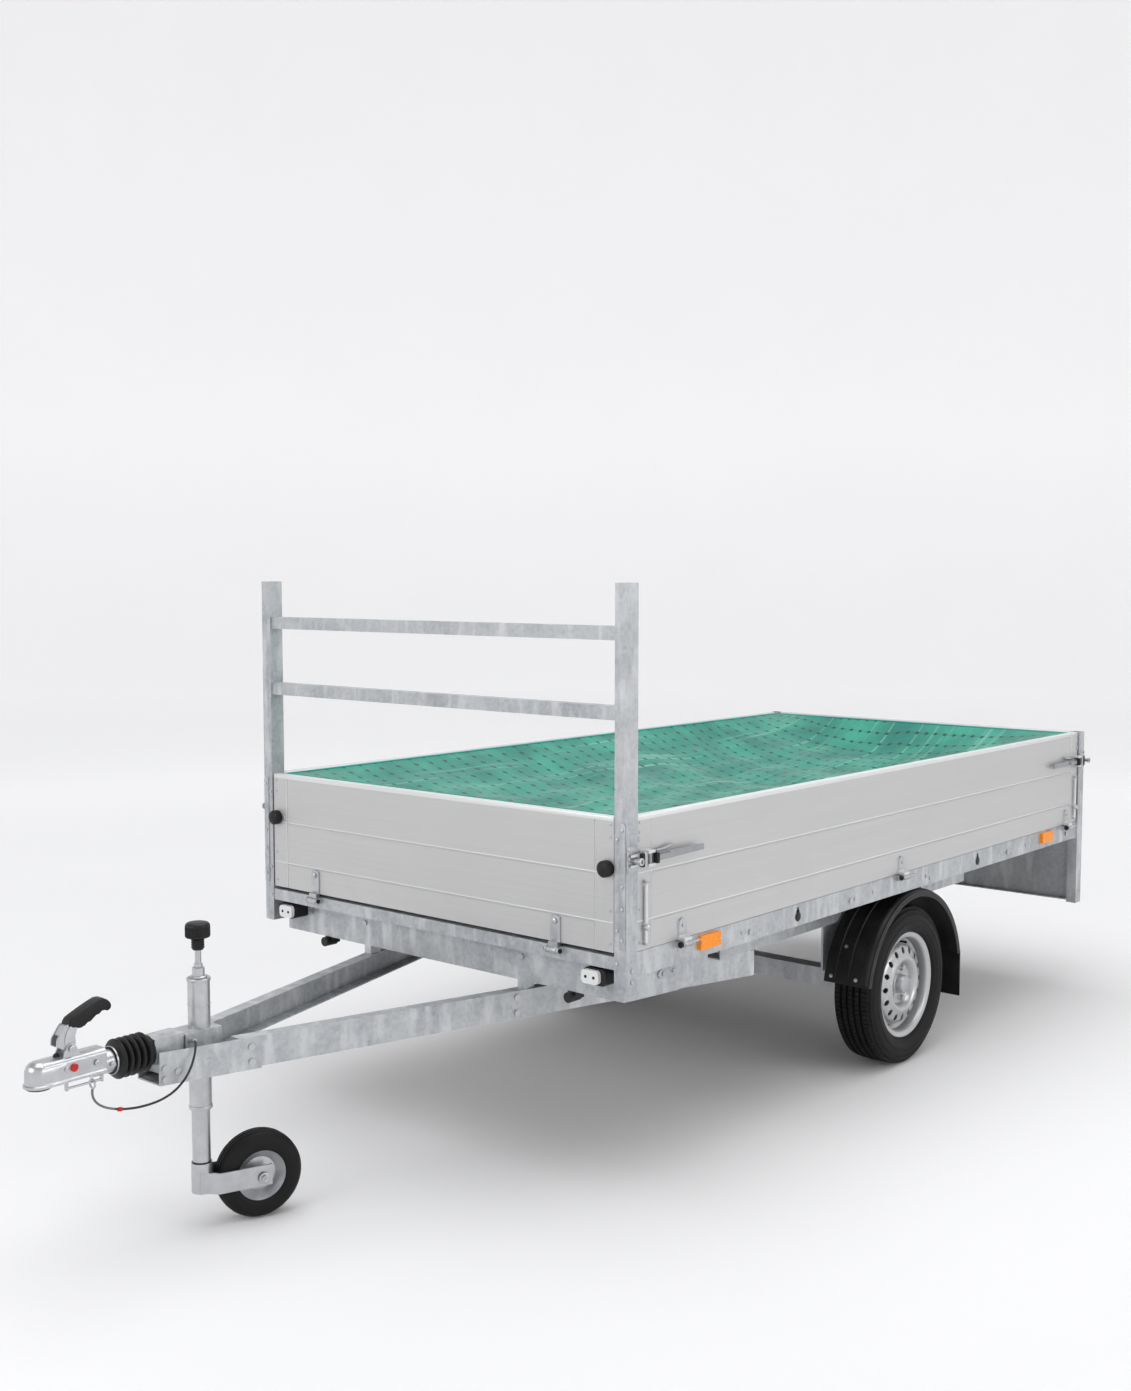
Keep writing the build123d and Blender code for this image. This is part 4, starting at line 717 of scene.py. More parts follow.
def joined(name: str, parts: Sequence[bpy.types.Object]) -> bpy.types.Object:
    """Join objects into one whose place is in its mesh.

    Args:
        name: The joined object's name.
        parts: The objects.

    Returns:
        The joined object, at the origin.
    """
    deselect()
    for part in parts:
        part.select_set(True)
    bpy.context.view_layer.objects.active = parts[0]
    if len(parts) > 1:
        bpy.ops.object.join()
    piece = bpy.context.object
    bpy.ops.object.transform_apply(location=True, rotation=True, scale=True)
    piece.name = piece.data.name = name
    return piece


def dressed(
    piece: bpy.types.Object, finish: Finish, body: str, replaces: Iterable[str] = (), angle: float = 35.0
) -> bpy.types.Object:
    """Smooth, paint and mount a finished piece.

    Args:
        piece: The finished object.
        finish: Its finish.
        body: The CAD body that it rides on.
        replaces: CAD nodes that it stands for.
        angle: Edges sharper than this many degrees stay sharp.

    Returns:
        The piece.
    """
    if piece.type == "MESH":
        only(piece)
        bpy.ops.object.shade_smooth_by_angle(angle=math.radians(angle))
    piece.data.materials.clear()
    piece.data.materials.append(finish.material())
    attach(piece, body)
    nodes = tuple(replaces)
    if nodes:
        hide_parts(*nodes)
    LOG.info("made %s on %s", piece.name, body)
    return piece


def pressed(
    name: str, points: Sequence[Vector], depth: Vector, edge: float, segments: int = 2, angle: float = 50.0
) -> bpy.types.Object:
    """Extrude a flat outline into a plate and round its edges.

    Args:
        name: The new object's name.
        points: The outline, in order.
        depth: The direction and length of the extrusion.
        edge: The width of the rounding.
        segments: The rounding's divisions.
        angle: Edges sharper than this many degrees are rounded.

    Returns:
        The new object.
    """
    piece = plate(name, points, depth)
    rounded(piece, edge, segments, angle)
    return piece


def ellipse(wide: float, tall: float, steps: int) -> list[tuple[float, float]]:
    """Points round an ellipse of two half widths about the origin."""
    turns = [2 * math.pi * step / steps for step in range(steps)]
    return [(wide * math.cos(turn), tall * math.sin(turn)) for turn in turns]


def round_topped(half: float, foot: float, spring: float, steps: int) -> list[tuple[float, float]]:
    """The outline of an upright plate with a half-round top.

    Args:
        half: Half its width, and the top's radius.
        foot: The height of its lower edge.
        spring: The height at which the top begins.
        steps: Divisions of the top.

    Returns:
        Points as (distance across, height).
    """
    turns = [math.pi * step / steps for step in range(steps + 1)]
    arch = [(half * math.cos(turn), spring + half * math.sin(turn)) for turn in turns]
    return [(-half, foot), (half, foot)] + arch


def spoke(number: int, count: int) -> Vector:
    """The outward direction of one of a wheel's evenly spaced spokes."""
    turn = 2 * math.pi * number / count
    return REAR * math.cos(turn) + UP * math.sin(turn)


def foot_of(name: str) -> Vector:
    """The middle of the underside of a CAD node's box."""
    low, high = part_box(name)
    return Vector(((low.x + high.x) / 2, (low.y + high.y) / 2, low.z))


@dataclass
class Trim:
    """A sub-assembly that is placed from the bed's front face and its half width."""

    half_width: float = 0.750
    front: float = -0.8845

    def spot(self, x: float, back: float, z: float) -> Vector:
        """The point at X, at a distance behind the bed's front face and at a height."""
        return Vector((x, self.front + back, z))


class Head(Enum):
    """How a fastener's head is shaped."""

    HEX = "hex"
    DOME = "dome"
    SOCKET = "socket"


@dataclass
class Fastener:
    """One kind of bolt, screw or rivet head, copied to many places."""

    head: Head
    radius: float
    height: float
    sides: int = 14

    def blank(self) -> bpy.types.Object:
        """Model one head at the origin, standing on Z = 0.

        Returns:
            The head's object.
        """
        deselect()
        sides = 6 if self.head is Head.HEX else self.sides
        bpy.ops.mesh.primitive_cylinder_add(
            vertices=sides, radius=self.radius, depth=self.height, location=(0, 0, self.height / 2)
        )
        piece = bpy.context.object
        bpy.ops.object.transform_apply(location=True, rotation=True, scale=True)
        select_faces(piece, lambda polygon: polygon.normal.z > 0.9)
        if self.head is Head.DOME:
            for share, rise in ((0.30, 0.22), (0.32, 0.08)):
                bpy.ops.mesh.inset(thickness=self.radius * share, depth=self.height * rise)
        elif self.head is Head.HEX:
            bpy.ops.mesh.inset(thickness=self.radius * 0.14, depth=self.height * 0.14)
            bpy.ops.mesh.inset(thickness=self.radius * 0.34, depth=0.0)
            bpy.ops.mesh.inset(thickness=self.radius * 0.03, depth=self.height * 0.30)
        else:
            bpy.ops.mesh.inset(thickness=self.radius * 0.12, depth=self.height * 0.10)
            bpy.ops.mesh.inset(thickness=self.radius * 0.36, depth=0.0)
            bpy.ops.mesh.inset(thickness=self.radius * 0.02, depth=-self.height * 0.7)
        bpy.ops.object.mode_set(mode="OBJECT")
        return piece

    def row(self, name: str, places: Sequence[tuple[Vector, Vector]]) -> bpy.types.Object:
        """Copy the head to many places and join the copies.

        Args:
            name: The joined object's name.
            places: Pairs of a foot point and the direction that the head points in.

        Returns:
            The joined object.
        """
        pattern = self.blank()
        copies = []
        for place, direction in places:
            copy = pattern.copy()
            copy.data = pattern.data.copy()
            bpy.context.scene.collection.objects.link(copy)
            turn = direction.normalized().to_track_quat("Z", "Y").to_matrix().to_4x4()
            copy.data.transform(Matrix.Translation(place) @ turn)
            copies.append(copy)
        bpy.data.objects.remove(pattern)
        return joined(name, copies)

    def fit(self, name: str, places: Sequence[tuple[Vector, Vector]], body: str) -> bpy.types.Object:
        """Copy the head to its places in bright zinc and mount the row on a body."""
        return dressed(self.row(name, places), ZINC, body)


# --- studio ------------------------------------------------------------------------------


@dataclass
class Studio:
    """The plain pale set, its soft lights and the camera."""

    eye: Point = (3.2686, -4.0868, 1.6837)
    pitch: float = 4.39
    heading: float = 40.44
    lens: float = 40.33
    floor_radius: float = 22.0
    wall_height: float = 15.0
    bend: float = 4.0
    paper_depth: float = 0.05
    paper: Colour = (0.80, 0.80, 0.805)
    lift: float = 0.325

    def camera(self) -> None:
        """Set up the camera."""
        data = bpy.data.cameras.new("camera")
        data.lens = self.lens
        data.sensor_width = 36.0
        data.clip_end = 200.0
        camera = bpy.data.objects.new("camera", data)
        camera.location = self.eye
        camera.rotation_euler = (math.radians(90 - self.pitch), 0.0, math.radians(self.heading))
        bpy.context.scene.collection.objects.link(camera)
        bpy.context.scene.camera = camera

    def sweep(self) -> None:
        """Make the round paper sweep that is floor and backdrop in one."""
        radius, bend = self.floor_radius, self.bend
        section = [(0.0, 0.0), (0.0, radius - bend)]
        for step in range(1, 9):
            turn = math.radians(90 * step / 8)
            section.append((bend - bend * math.cos(turn), radius - bend + bend * math.sin(turn)))
        wall, outer = self.wall_height, radius + self.paper_depth
        section += [(wall, radius), (wall, outer), (-self.paper_depth, outer), (-self.paper_depth, 0.0)]
        paper = turned("paper_sweep", section, Vector((0.0, 0.0, 0.0)), UP, 96)
        only(paper)
        bpy.ops.object.shade_smooth_by_angle(angle=math.radians(50))
        graph = Graph("studio_paper")
        graph.set(Base_Color=(*self.paper, 1.0), Roughness=0.9)
        shade: Colour = tuple(0.985 * c for c in self.paper)
        graph.colour(graph.mix(graph.ramp(graph.noise(0.6, 2.0), 0.3, 0.7), self.paper, shade))
        x, y, _ = graph.axes(graph.place)
        reach = graph.maths("SQRT", graph.plus(graph.times(x, x), graph.times(y, y)))
        graph.set(Emission_Color=(0.97, 0.965, 0.97, 1.0))
        graph.feed(graph.shader.inputs["Emission Strength"], graph.ramp(reach, 2.2, 8.0, 0.0, self.lift))
        paper.data.materials.append(graph.material)

    def lamp(self, name: str, place: Point, target: Point, size: tuple[float, float], watts: float) -> None:
        """Hang one soft box.

        Args:
            name: The lamp's name.
            place: Where it hangs.
            target: What it points at.
            size: Its width and height.
            watts: Its power.
        """
        data = bpy.data.lights.new(name, "AREA")
        data.shape = "RECTANGLE"
        data.size, data.size_y = size
        data.energy = watts
        lamp = bpy.data.objects.new(name, data)
        lamp.location = place
        lamp.rotation_euler = (Vector(target) - Vector(place)).to_track_quat("-Z", "Y").to_euler()
        bpy.context.scene.collection.objects.link(lamp)

    def lights(self) -> None:
        """Hang the lamps and set the even light of the room."""
        self.lamp("overhead_box", (0.2, 0.3, 6.4), (0.0, 0.1, 0.5), (7.0, 7.0), 335.0)
        self.lamp("key_box", (-1.2, -7.4, 3.8), (0.0, 0.0, 0.7), (4.5, 3.0), 120.0)
        self.lamp("side_box", (7.2, 1.0, 3.0), (0.4, 0.2, 0.7), (5.0, 2.6), 95.0)
        world = bpy.data.worlds.new("room")
        world.use_nodes = True
        room = world.node_tree.nodes["Background"]
        room.inputs["Color"].default_value = (0.97, 0.98, 1.0, 1.0)
        room.inputs["Strength"].default_value = 0.42
        bpy.context.scene.world = world
        bpy.context.scene.view_settings.view_transform = "Standard"

    def build(self) -> None:
        """Set up camera, paper and lights."""
        self.camera()
        self.sweep()
        self.lights()


# --- soft parts --------------------------------------------------------------------------


@dataclass
class BreakawayCable(Trim):
    """The thin sheathed cable from the ring under the coupling to the eye on the bracket."""

    radius: float = 0.003
    length: float = 0.41
    route: tuple[tuple[float, float, float], ...] = (
        (0, -1135, 443), (2, -1139, 432), (8, -1133, 411), (18, -1115, 396), (31, -1087, 387),
        (44, -1052, 383), (56, -1016, 385), (68, -982, 393), (78, -952, 409), (86, -928, 434),
        (90, -911, 463), (87, -898, 492), (76, -887, 512), (60, -877, 515), (45.5, -874, 512),
    )

    def points(self) -> list[Vector]:
        """The route's points in metres."""
        return [self.spot(x / 1000, y / 1000, z / 1000) for x, y, z in self.route]

    def build(self) -> None:
        """Lay the cable and its two crimps."""
        points = self.points()
        curve = bpy.data.curves.new("breakaway_cable", "CURVE")
        curve.dimensions = "3D"
        spline = curve.splines.new("NURBS")
        spline.points.add(len(points) - 1)
        for knot, point in zip(spline.points, points):
            knot.co = (*point, 1.0)
        spline.order_u = 3
        spline.use_endpoint_u = True
        spline.resolution_u = 12
        curve.bevel_depth = self.radius
        curve.bevel_resolution = 4
        curve.use_fill_caps = True
        cable = bpy.data.objects.new("breakaway_cable", curve)
        bpy.context.scene.collection.objects.link(cable)
        dressed(cable, SHEATH, "chassis", ("safety_cable",))
        crimps = [
            self.crimp("cable_crimp_front", points[4], points[5], RED),
            self.crimp("cable_crimp_rear", points[-2], points[-1], ZINC),
        ]

    def crimp(self, name: str, start: Vector, end: Vector, finish: Finish) -> bpy.types.Object:
        """Press one ferrule onto the cable.

        Args:
            name: The ferrule's name.
            start: Its first end.
            end: A point that it heads for.
            finish: Its finish.

        Returns:
            The ferrule.
        """
        r = self.radius
        shape = ((0, 0.6), (0, 1.45), (0.0015, 1.75), (0.0105, 1.75), (0.012, 1.45), (0.012, 0.6))
        section = [(along, r * share) for along, share in shape]
        return dressed(turned(name, section, start, end - start, 20), finish, "chassis")


@dataclass
class CargoNet:
    """The knitted net that hangs inside the drop sides."""

    edge: float = 0.004
    sag: float = 0.175
    columns: int = 72
    rows: int = 144

    def drop(self, across: float, along: float) -> float:
        """How far the net hangs below its rim.

        Args:
            across: From -1 at the right edge to 1 at the left.
            along: From -1 at the front edge to 1 at the rear.

        Returns:
            The drop in metres.
        """
        trough = (1 - abs(across) ** 2.3) * (1 - abs(along) ** 7)
        swell = 0.80 + 0.20 * math.sin(2.1 * along + 0.7)
        folds = 0.011 * math.sin(9.0 * along + 3.1 * across) + 0.007 * math.sin(23.0 * along - 2.0 * across)
        ripple = 0.004 * math.sin(31.0 * across + 5.0 * along)
        bias = 0.02 * across * math.cos(3.4 * along)
        return max(0.0, trough * (self.sag * swell + folds + ripple + bias))

    def build(self) -> None:
        """Hang the net and its hem."""
        low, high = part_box("cargo_net")
        middle, half = (low + high) / 2, (high - low) / 2
        top = high.z - self.edge
        deselect()
        bpy.ops.mesh.primitive_grid_add(x_subdivisions=self.columns, y_subdivisions=self.rows, size=2.0)
        net = bpy.context.object
        net.name = net.data.name = "cargo_netting"
        width, length = half.x - self.edge, half.y - self.edge
        for vertex in net.data.vertices:
            across, along = vertex.co.x, vertex.co.y
            vertex.co = (
                middle.x + across * width, middle.y + along * length, top - self.drop(across, along),
            )
        apply_modifier(net, "SUBSURF", levels=1, render_levels=1)
        dressed(net, NET, "chassis", ("cargo_net",), 60.0)
        hem = self.hem(middle, width, length, top)

    def hem(self, middle: Vector, width: float, length: float, top: float) -> bpy.types.Object:
        """Sew the cord hem round the net's edge.

        Args:
            middle: The net's middle.
            width: Half its width.
            length: Half its length.
            top: The rim's height.

        Returns:
            The hem.
        """
        corners = [Vector((sx * width, sy * length, 0.0)) for sx, sy in ((1, 1), (-1, 1), (-1, -1), (1, -1))]
        bars = []
        for here, there in zip(corners, corners[1:] + corners[:1]):
            deselect()
            span = there - here
            bpy.ops.mesh.primitive_cylinder_add(vertices=10, radius=0.0036, depth=span.length)
            bar = bpy.context.object
            turn = span.normalized().to_track_quat("Z", "Y").to_matrix().to_4x4()
            place = Vector((middle.x, middle.y, top)) + (here + there) / 2
            bar.data.transform(Matrix.Translation(place) @ turn)
            only(bar)
            bpy.ops.object.mode_set(mode="EDIT")
            bpy.ops.mesh.select_all(action="SELECT")
            bpy.ops.mesh.bevel(offset=0.001, segments=1)
            bpy.ops.object.mode_set(mode="OBJECT")
            bars.append(bar)
        return dressed(joined("net_hem", bars), HEM, "chassis")


# --- wheels ------------------------------------------------------------------------------


@dataclass
class RoadWheel:
    """A road wheel: its tyre, vented rim, hub cap and valve."""

    side: Side
    segments: int = 108
    tread_half: float = 0.062
    rib_depth: float = 0.0065
    groove_half: float = 0.0042
    grooves: tuple[float, ...] = (-0.036, -0.0125, 0.0125, 0.036)
    vents: int = 16
    vent_radius: float = 0.1180
    bolts: int = 5
    bolt_radius: float = 0.056

    def section(self, radius: float, half: float) -> list[tuple[float, float]]:
        """The tyre's closed section.

        Args:
            radius: The tyre's radius.
            half: Half its width.

        Returns:
            Points as (distance across, radius).
        """
        base = radius - self.rib_depth
        crown: list[tuple[float, float]] = [(-self.tread_half, base - 0.0035)]
        for groove in self.grooves:
            lift = base - 0.9 * groove * groove
            for across, drop in ((-self.groove_half, 0.0), (-self.groove_half + 0.001, 0.004),
                                 (self.groove_half - 0.001, 0.004), (self.groove_half, 0.0)):
                crown.append((groove + across, lift - drop))
        crown.append((self.tread_half, base - 0.0035))
        bead = [(-0.058, 0.1668), (-0.0585, 0.1800), (-0.0645, 0.1850), (-0.0712, 0.1905)]
        wall = (
            (0.0035, 0.2010), (0.0030, 0.2016), (0.0008, 0.2110), (0.0, 0.2210), (0.0016, 0.2218),
            (0.0016, 0.2240), (0.0004, 0.2248), (0.0012, 0.2330), (0.0042, 0.2440), (0.0056, 0.2450),
            (0.0056, 0.2458), (0.0042, 0.2466), (0.0095, 0.2545), (0.0140, 0.2595),
        )
        left = bead + [(inset - half, r) for inset, r in wall]
        right = [(-a, r) for a, r in reversed(left)]
        lining = [(0.047, 0.1668), (0.050, 0.205), (0.046, 0.2455)]
        return left + crown + right + lining + [(-a, r) for a, r in reversed(lining)]

    def build(self) -> None:
        """Mould the tyre and fit the valve, the rim and the hub cap."""
        name = f"tyre_{self.side.label}"
        low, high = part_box(name)
        centre, half = (low + high) / 2, (high - low) / 2
        tyre = turned(f"moulded_{name}", self.section(half.z, half.x), centre, LEFT, self.segments)
        floor = half.z - self.rib_depth - 0.0046

        def on_rib(polygon: Any) -> bool:
            """Whether a face is on top of a tread rib."""
            spot = polygon.center - centre
            radial = math.hypot(spot.y, spot.z)
            lean = abs(polygon.normal.x)
            return abs(spot.x) < self.tread_half and radial > floor - 0.0006 and lean < 0.35 and not any(
                abs(spot.x - groove) < self.groove_half for groove in self.grooves
            )

        select_faces(tyre, on_rib)
        bpy.ops.mesh.inset(thickness=0.0011, depth=self.rib_depth - 0.0004, use_individual=True)
        bpy.ops.object.mode_set(mode="OBJECT")
        select_faces(tyre, lambda polygon: self.on_shoulder(polygon, centre))
        bpy.ops.mesh.inset(thickness=0.0024, depth=0.0020, use_individual=True)
        bpy.ops.object.mode_set(mode="OBJECT")
        body = f"wheel_{self.side.label}"
        dressed(tyre, TYRE, body, (name,), 28.0)
        self.valve(centre, body)
        self.rim(centre, body)
        self.hub_cap(centre, body)

    def rim(self, centre: Vector, body: str) -> None:
        """Roll the rim's barrel and press its vented disc.

        Args:
            centre: The wheel's centre.
            body: The wheel's body.
        """
        out = LEFT * self.side.value
        lip = [(0.0630, 0.1800), (0.0620, 0.1822), (0.0600, 0.1826), (0.0585, 0.1805), (0.0578, 0.1720),
               (0.0560, 0.1662)]
        well = [(0.022, 0.1640), (0.012, 0.1500)]
        inside = [(0.0125, 0.1465), (0.0235, 0.1600), (0.0440, 0.1612), (0.0520, 0.1618), (0.0566, 0.1640),
                  (0.0596, 0.1685), (0.0606, 0.1735)]
        mirrored = [(-a, r) for a, r in reversed(lip + well)]
        shell = [(-a, r) for a, r in reversed(inside)]
        barrel = turned("barrel", lip + well + mirrored + shell + inside, centre, out, 96)
        face = [(0.0085, 0.1467), (0.0110, 0.1445), (0.0250, 0.1412), (0.0370, 0.1362), (0.0430, 0.1315),
                (0.0470, 0.1240), (0.0490, 0.1160), (0.0510, 0.1080), (0.0545, 0.1010), (0.0575, 0.0950),
                (0.0582, 0.0900), (0.0565, 0.0840), (0.0500, 0.0775), (0.0420, 0.0725), (0.0365, 0.0700),
                (0.0340, 0.0680), (0.0330, 0.0660), (0.0330, 0.0318)]
        back = [(a - 0.0038, r - (0.0022 if r > 0.095 else -0.0006)) for a, r in reversed(face)]
        disc = turned("disc", face + back, centre, out, 128)
        cutters = []
        for number in range(self.vents):
            outward = spoke(number, self.vents)
            across = out.cross(outward)
            deselect()
            bpy.ops.mesh.primitive_cylinder_add(vertices=24, radius=0.0095, depth=0.06)
            cutter = bpy.context.object
            basis = Matrix((outward * 1.25, across, out)).transposed().to_4x4()
            place = Matrix.Translation(centre + out * 0.045 + outward * self.vent_radius)
            cutter.data.transform(place @ basis)
            cutters.append(cutter)
        punch = joined("punch", cutters)
        apply_modifier(disc, "BOOLEAN", object=punch, operation="DIFFERENCE", solver="EXACT")
        bpy.data.objects.remove(punch)
        rim = joined(f"pressed_rim_{self.side.label}", [barrel, disc])
        dressed(rim, WHEEL, body, (f"wheel_rim_{self.side.label}",), 32.0)

    def hub_cap(self, centre: Vector, body: str) -> None:
        """Press the domed grease cap over the hub and the washers under the wheel bolts.

        Args:
            centre: The wheel's centre.
            body: The wheel's body.
        """
        out = LEFT * self.side.value
        section = [(0.0300, 0.0), (0.0300, 0.0352), (0.0345, 0.0356), (0.0370, 0.0330), (0.0440, 0.0318),
                   (0.0560, 0.0310), (0.0600, 0.0285), (0.0622, 0.0225), (0.0629, 0.0120), (0.0630, 0.0)]
        seat = [(0.0, 0.0), (0.0, 0.0132), (0.0012, 0.0128), (0.0040, 0.0112), (0.0040, 0.0)]
        parts = [turned("dome", section, centre, out, 64)]
        for number in range(self.bolts):
            place = centre + out * 0.0325 + spoke(number, self.bolts) * self.bolt_radius
            parts.append(turned(f"seat_{number}", seat, place, out, 20))
        dressed(joined(f"hub_cap_{self.side.label}", parts), HUB, body)

    def on_shoulder(self, polygon: Any, centre: Vector) -> bool:
        """Whether a face is in the band of blocks on the tyre's shoulder."""
        spot = polygon.center - centre
        return 0.2545 < math.hypot(spot.y, spot.z) < 0.2645 and 0.0615 < abs(spot.x)

    def valve(self, centre: Vector, body: str) -> None:
        """Fit the rubber valve stem and its cap through the rim.

        Args:
            centre: The wheel's centre.
            body: The wheel's body.
        """
        out = LEFT * self.side.value
        foot = centre + out * 0.030 + UP * 0.148
        section = [(0.0, 0.0), (0.0, 0.0062), (0.004, 0.0062), (0.006, 0.0040), (0.020, 0.0036),
                   (0.021, 0.0044), (0.031, 0.0044), (0.033, 0.0030), (0.033, 0.0)]
        dressed(turned(f"valve_{self.side.label}", section, foot, out, 16), RUBBER, body)


# --- coupling ----------------------------------------------------------------------------


@dataclass
class Bellows:
    """The ribbed rubber bellows between the coupling and the overrun housing, and its front clamp."""

    ribs: int = 5
    crest: float = 0.050
    valley: float = 0.0355
    bore: float = 0.0288
    collar: float = 0.009
    travel: float = 0.055

    def build(self) -> None:
        """Mould the bellows and fit the clamp at their front."""
        low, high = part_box("coupling_bellows")
        length = high.y - low.y
        middle = Vector(((low.x + high.x) / 2, low.y, (low.z + high.z) / 2))
        collar = self.collar
        pitch = (length - 2 * collar) / self.ribs
        section = [(0.0, self.bore), (0.0, 0.0325), (0.001, 0.0335), (collar - 0.001, 0.0340)]
        for rib in range(self.ribs):
            for step in range(9):
                share = step / 9
                wave = 0.5 - 0.5 * math.cos(2 * math.pi * share)
                radius = self.valley + (self.crest - self.valley) * wave ** 0.50
                section.append((collar + (rib + share) * pitch, radius))
        section += [(length - collar, self.valley), (length - collar + 0.001, 0.0395),
                    (length - 0.001, 0.0395), (length, 0.0385), (length, self.bore)]
        bellows = turned("rubber_bellows", section, middle, REAR, 72)
        dressed(bellows, RUBBER, "chassis", ("coupling_bellows",), 50.0)
        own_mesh(bellows)
        clamp = [(0.0, 0.0343), (0.0, 0.0355), (0.0036, 0.0355), (0.0036, 0.0343)]
        strap = turned("bellows_clamp", clamp, Vector((middle.x, low.y + 0.0006, middle.z)), REAR, 48)
        dressed(strap, ZINC, "chassis")
        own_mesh(strap)


@dataclass
class Grip(Trim):
    """The moulded grip on the coupling's handle, with finger waves below."""

    half: float = 0.0168

    def build(self) -> None:
        """Mould the grip and set the red inlay into its underside."""
        top = [(-1207, 617), (-1205, 625), (-1199, 633), (-1185, 640), (-1162, 650), (-1140, 659),
               (-1121, 665.5), (-1108, 665), (-1097, 659), (-1089, 651), (-1086, 643)]
        below = [(-1088, 635), (-1096, 631), (-1104, 634), (-1112, 634), (-1120, 628), (-1128, 627),
                 (-1136, 621), (-1144, 615), (-1152, 614), (-1160, 608), (-1170, 605), (-1182, 606),
                 (-1196, 608)]
        points = [self.spot(-self.half, y / 1000, z / 1000) for y, z in top + below]
        grip = pressed("handle_grip", points, LEFT * 2 * self.half, 0.0055, 4)
        dressed(grip, PLASTIC, "handle", ("coupling_grip",), 50.0)
        waves = below[4:11]
        strip = [self.spot(-0.006, y / 1000, z / 1000 + 0.0015) for y, z in waves]
        strip += [self.spot(-0.006, y / 1000, z / 1000 - 0.0006) for y, z in reversed(waves)]
        pad = plate("grip_inlay", strip, LEFT * 0.012)
        dressed(pad, RED, "handle")


@dataclass
class CouplingTrim(Trim):
    """The pressed coupling head, its indicator, bolts, seal and handle plates."""

    socket: tuple[float, float] = (-1.278, 0.510)
    levels: tuple[tuple[float, float], ...] = (
        (0.4870, 0.0330), (0.4885, 0.0331), (0.4925, 0.0331), (0.4945, 0.0318), (0.4975, 0.0313),
        (0.5120, 0.0311), (0.5260, 0.0300), (0.5350, 0.0268), (0.5405, 0.0222), (0.5440, 0.0150),
        (0.5452, 0.0070),
    )

    def build(self) -> None:
        """Press the head's skin and fit everything on it."""
        self.skin()
        self.fasteners()
        self.seal()
        self.lever_plates()

    def skin(self) -> None:
        """Press the smooth skin that stands for the head's blocky outer shape."""
        rings = []
        count = 40
        nose, rear = self.socket[0], -1.1130
        for height, half in self.levels:
            flare = 0.0016 if height < 0.493 else 0.0
            ring = []
            for step in range(count):
                turn = math.pi * step / (count - 1)
                reach = (half + flare) * (1.0 if height < 0.53 else 1.0 - 0.06 * (height - 0.53) / 0.015)
                ring.append((-(half + flare) * math.cos(turn), nose - reach * math.sin(turn)))
            waist = half - (0.0030 if height < 0.53 else 0.0)
            flank = [(half, nose + 0.020), (half, nose + 0.040), (waist + 0.001, nose + 0.058),
                     (waist, nose + 0.075), (waist, rear - 0.002)]
            ring += flank + [(-x, y) for x, y in reversed(flank)]
            rings.append([Vector((x, self.front + y, height)) for x, y in ring])
        last = len(rings) - 1
        parts = [outline(f"level_{number}", ring, number == last) for number, ring in enumerate(rings)]
        skin = joined("coupling_skin", parts)
        only(skin)
        bpy.ops.object.mode_set(mode="EDIT")
        bpy.ops.mesh.select_all(action="SELECT")
        bpy.ops.mesh.bridge_edge_loops()
        bpy.ops.object.mode_set(mode="OBJECT")
        tidy_mesh(skin)
        apply_modifier(skin, "SOLIDIFY", thickness=0.0012, offset=1.0)
        dressed(skin, ZINC, "coupling", angle=38.0)

    def fasteners(self) -> None:
        """Fit the indicator, the side bolts and the pin of the handle."""
        _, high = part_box("coupling_head")
        side = high.x
        for y, r, finish in ((-1.201, 0.0098, RED), (-1.222, 0.0062, ZINC)):
            spot = Vector((side - 0.0060, self.front + y, 0.519))
            section = [(0.0, 0.0), (0.0, r), (0.0052, r), (0.0068, r - 0.0016), (0.0068, 0.0)]
            stud = turned(f"indicator_{finish.slot.value}", section, spot, LEFT, 28)
            dressed(stud, finish, "coupling")
        places = []
        for sign in (-1, 1):
            for y, z in ((-1.140, 0.516), (-1.096, 0.502)):
                cheek = 0.0292 if y > -1.11 else 0.0302
                places.append((self.spot(sign * cheek, y, z), LEFT * sign))
        Fastener(Head.HEX, 0.0080, 0.0050).fit("coupling_bolts", places, "coupling")
        pins = [(self.spot(sign * 0.0215, -1.201, 0.563), LEFT * sign) for sign in (-1, 1)]
        Fastener(Head.HEX, 0.0088, 0.0045).fit("handle_pivot_nuts", pins, "handle")

    def seal(self) -> None:
        """Fit the black ring that shows under the nose and the grease cap before the handle."""
        spot = Vector((0.0, self.front + self.socket[0], 0.4818))
        ring = [(0.0, 0.0262), (0.0, 0.0290), (0.0015, 0.0305), (0.0058, 0.0305), (0.0058, 0.0262)]
        dressed(turned("socket_seal", ring, spot, UP, 56), RUBBER, "coupling")
        cap = [(0.0, 0.0), (0.0, 0.0078), (0.006, 0.0072), (0.0095, 0.0045), (0.0102, 0.0)]
        spot = self.spot(0.0, -1.229, 0.5445)
        dressed(turned("grease_cap", cap, spot, (UP - REAR * 0.6), 28), RUBBER, "coupling")

    def lever_plates(self) -> None:
        """Press the curved cheek plates of the handle on both sides."""
        _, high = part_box("coupling_handle")
        shape = [(-1212, 556), (-1214, 568), (-1216, 586), (-1211, 603), (-1200, 616), (-1189, 626),
                 (-1180, 628), (-1178, 620), (-1184, 604), (-1188, 590), (-1187, 574), (-1190, 560),
                 (-1196, 554), (-1205, 553)]
        parts = []
        for sign in (-1, 1):
            start = sign * (high.x + 0.0001)
            points = [Vector((start, self.front + y / 1000, z / 1000)) for y, z in shape]
            parts.append(pressed(f"cheek_{sign + 1}", points, LEFT * sign * 0.0018, 0.0006))
        dressed(joined("handle_cheeks", parts), ZINC, "handle")


# --- jockey wheel ------------------------------------------------------------------------


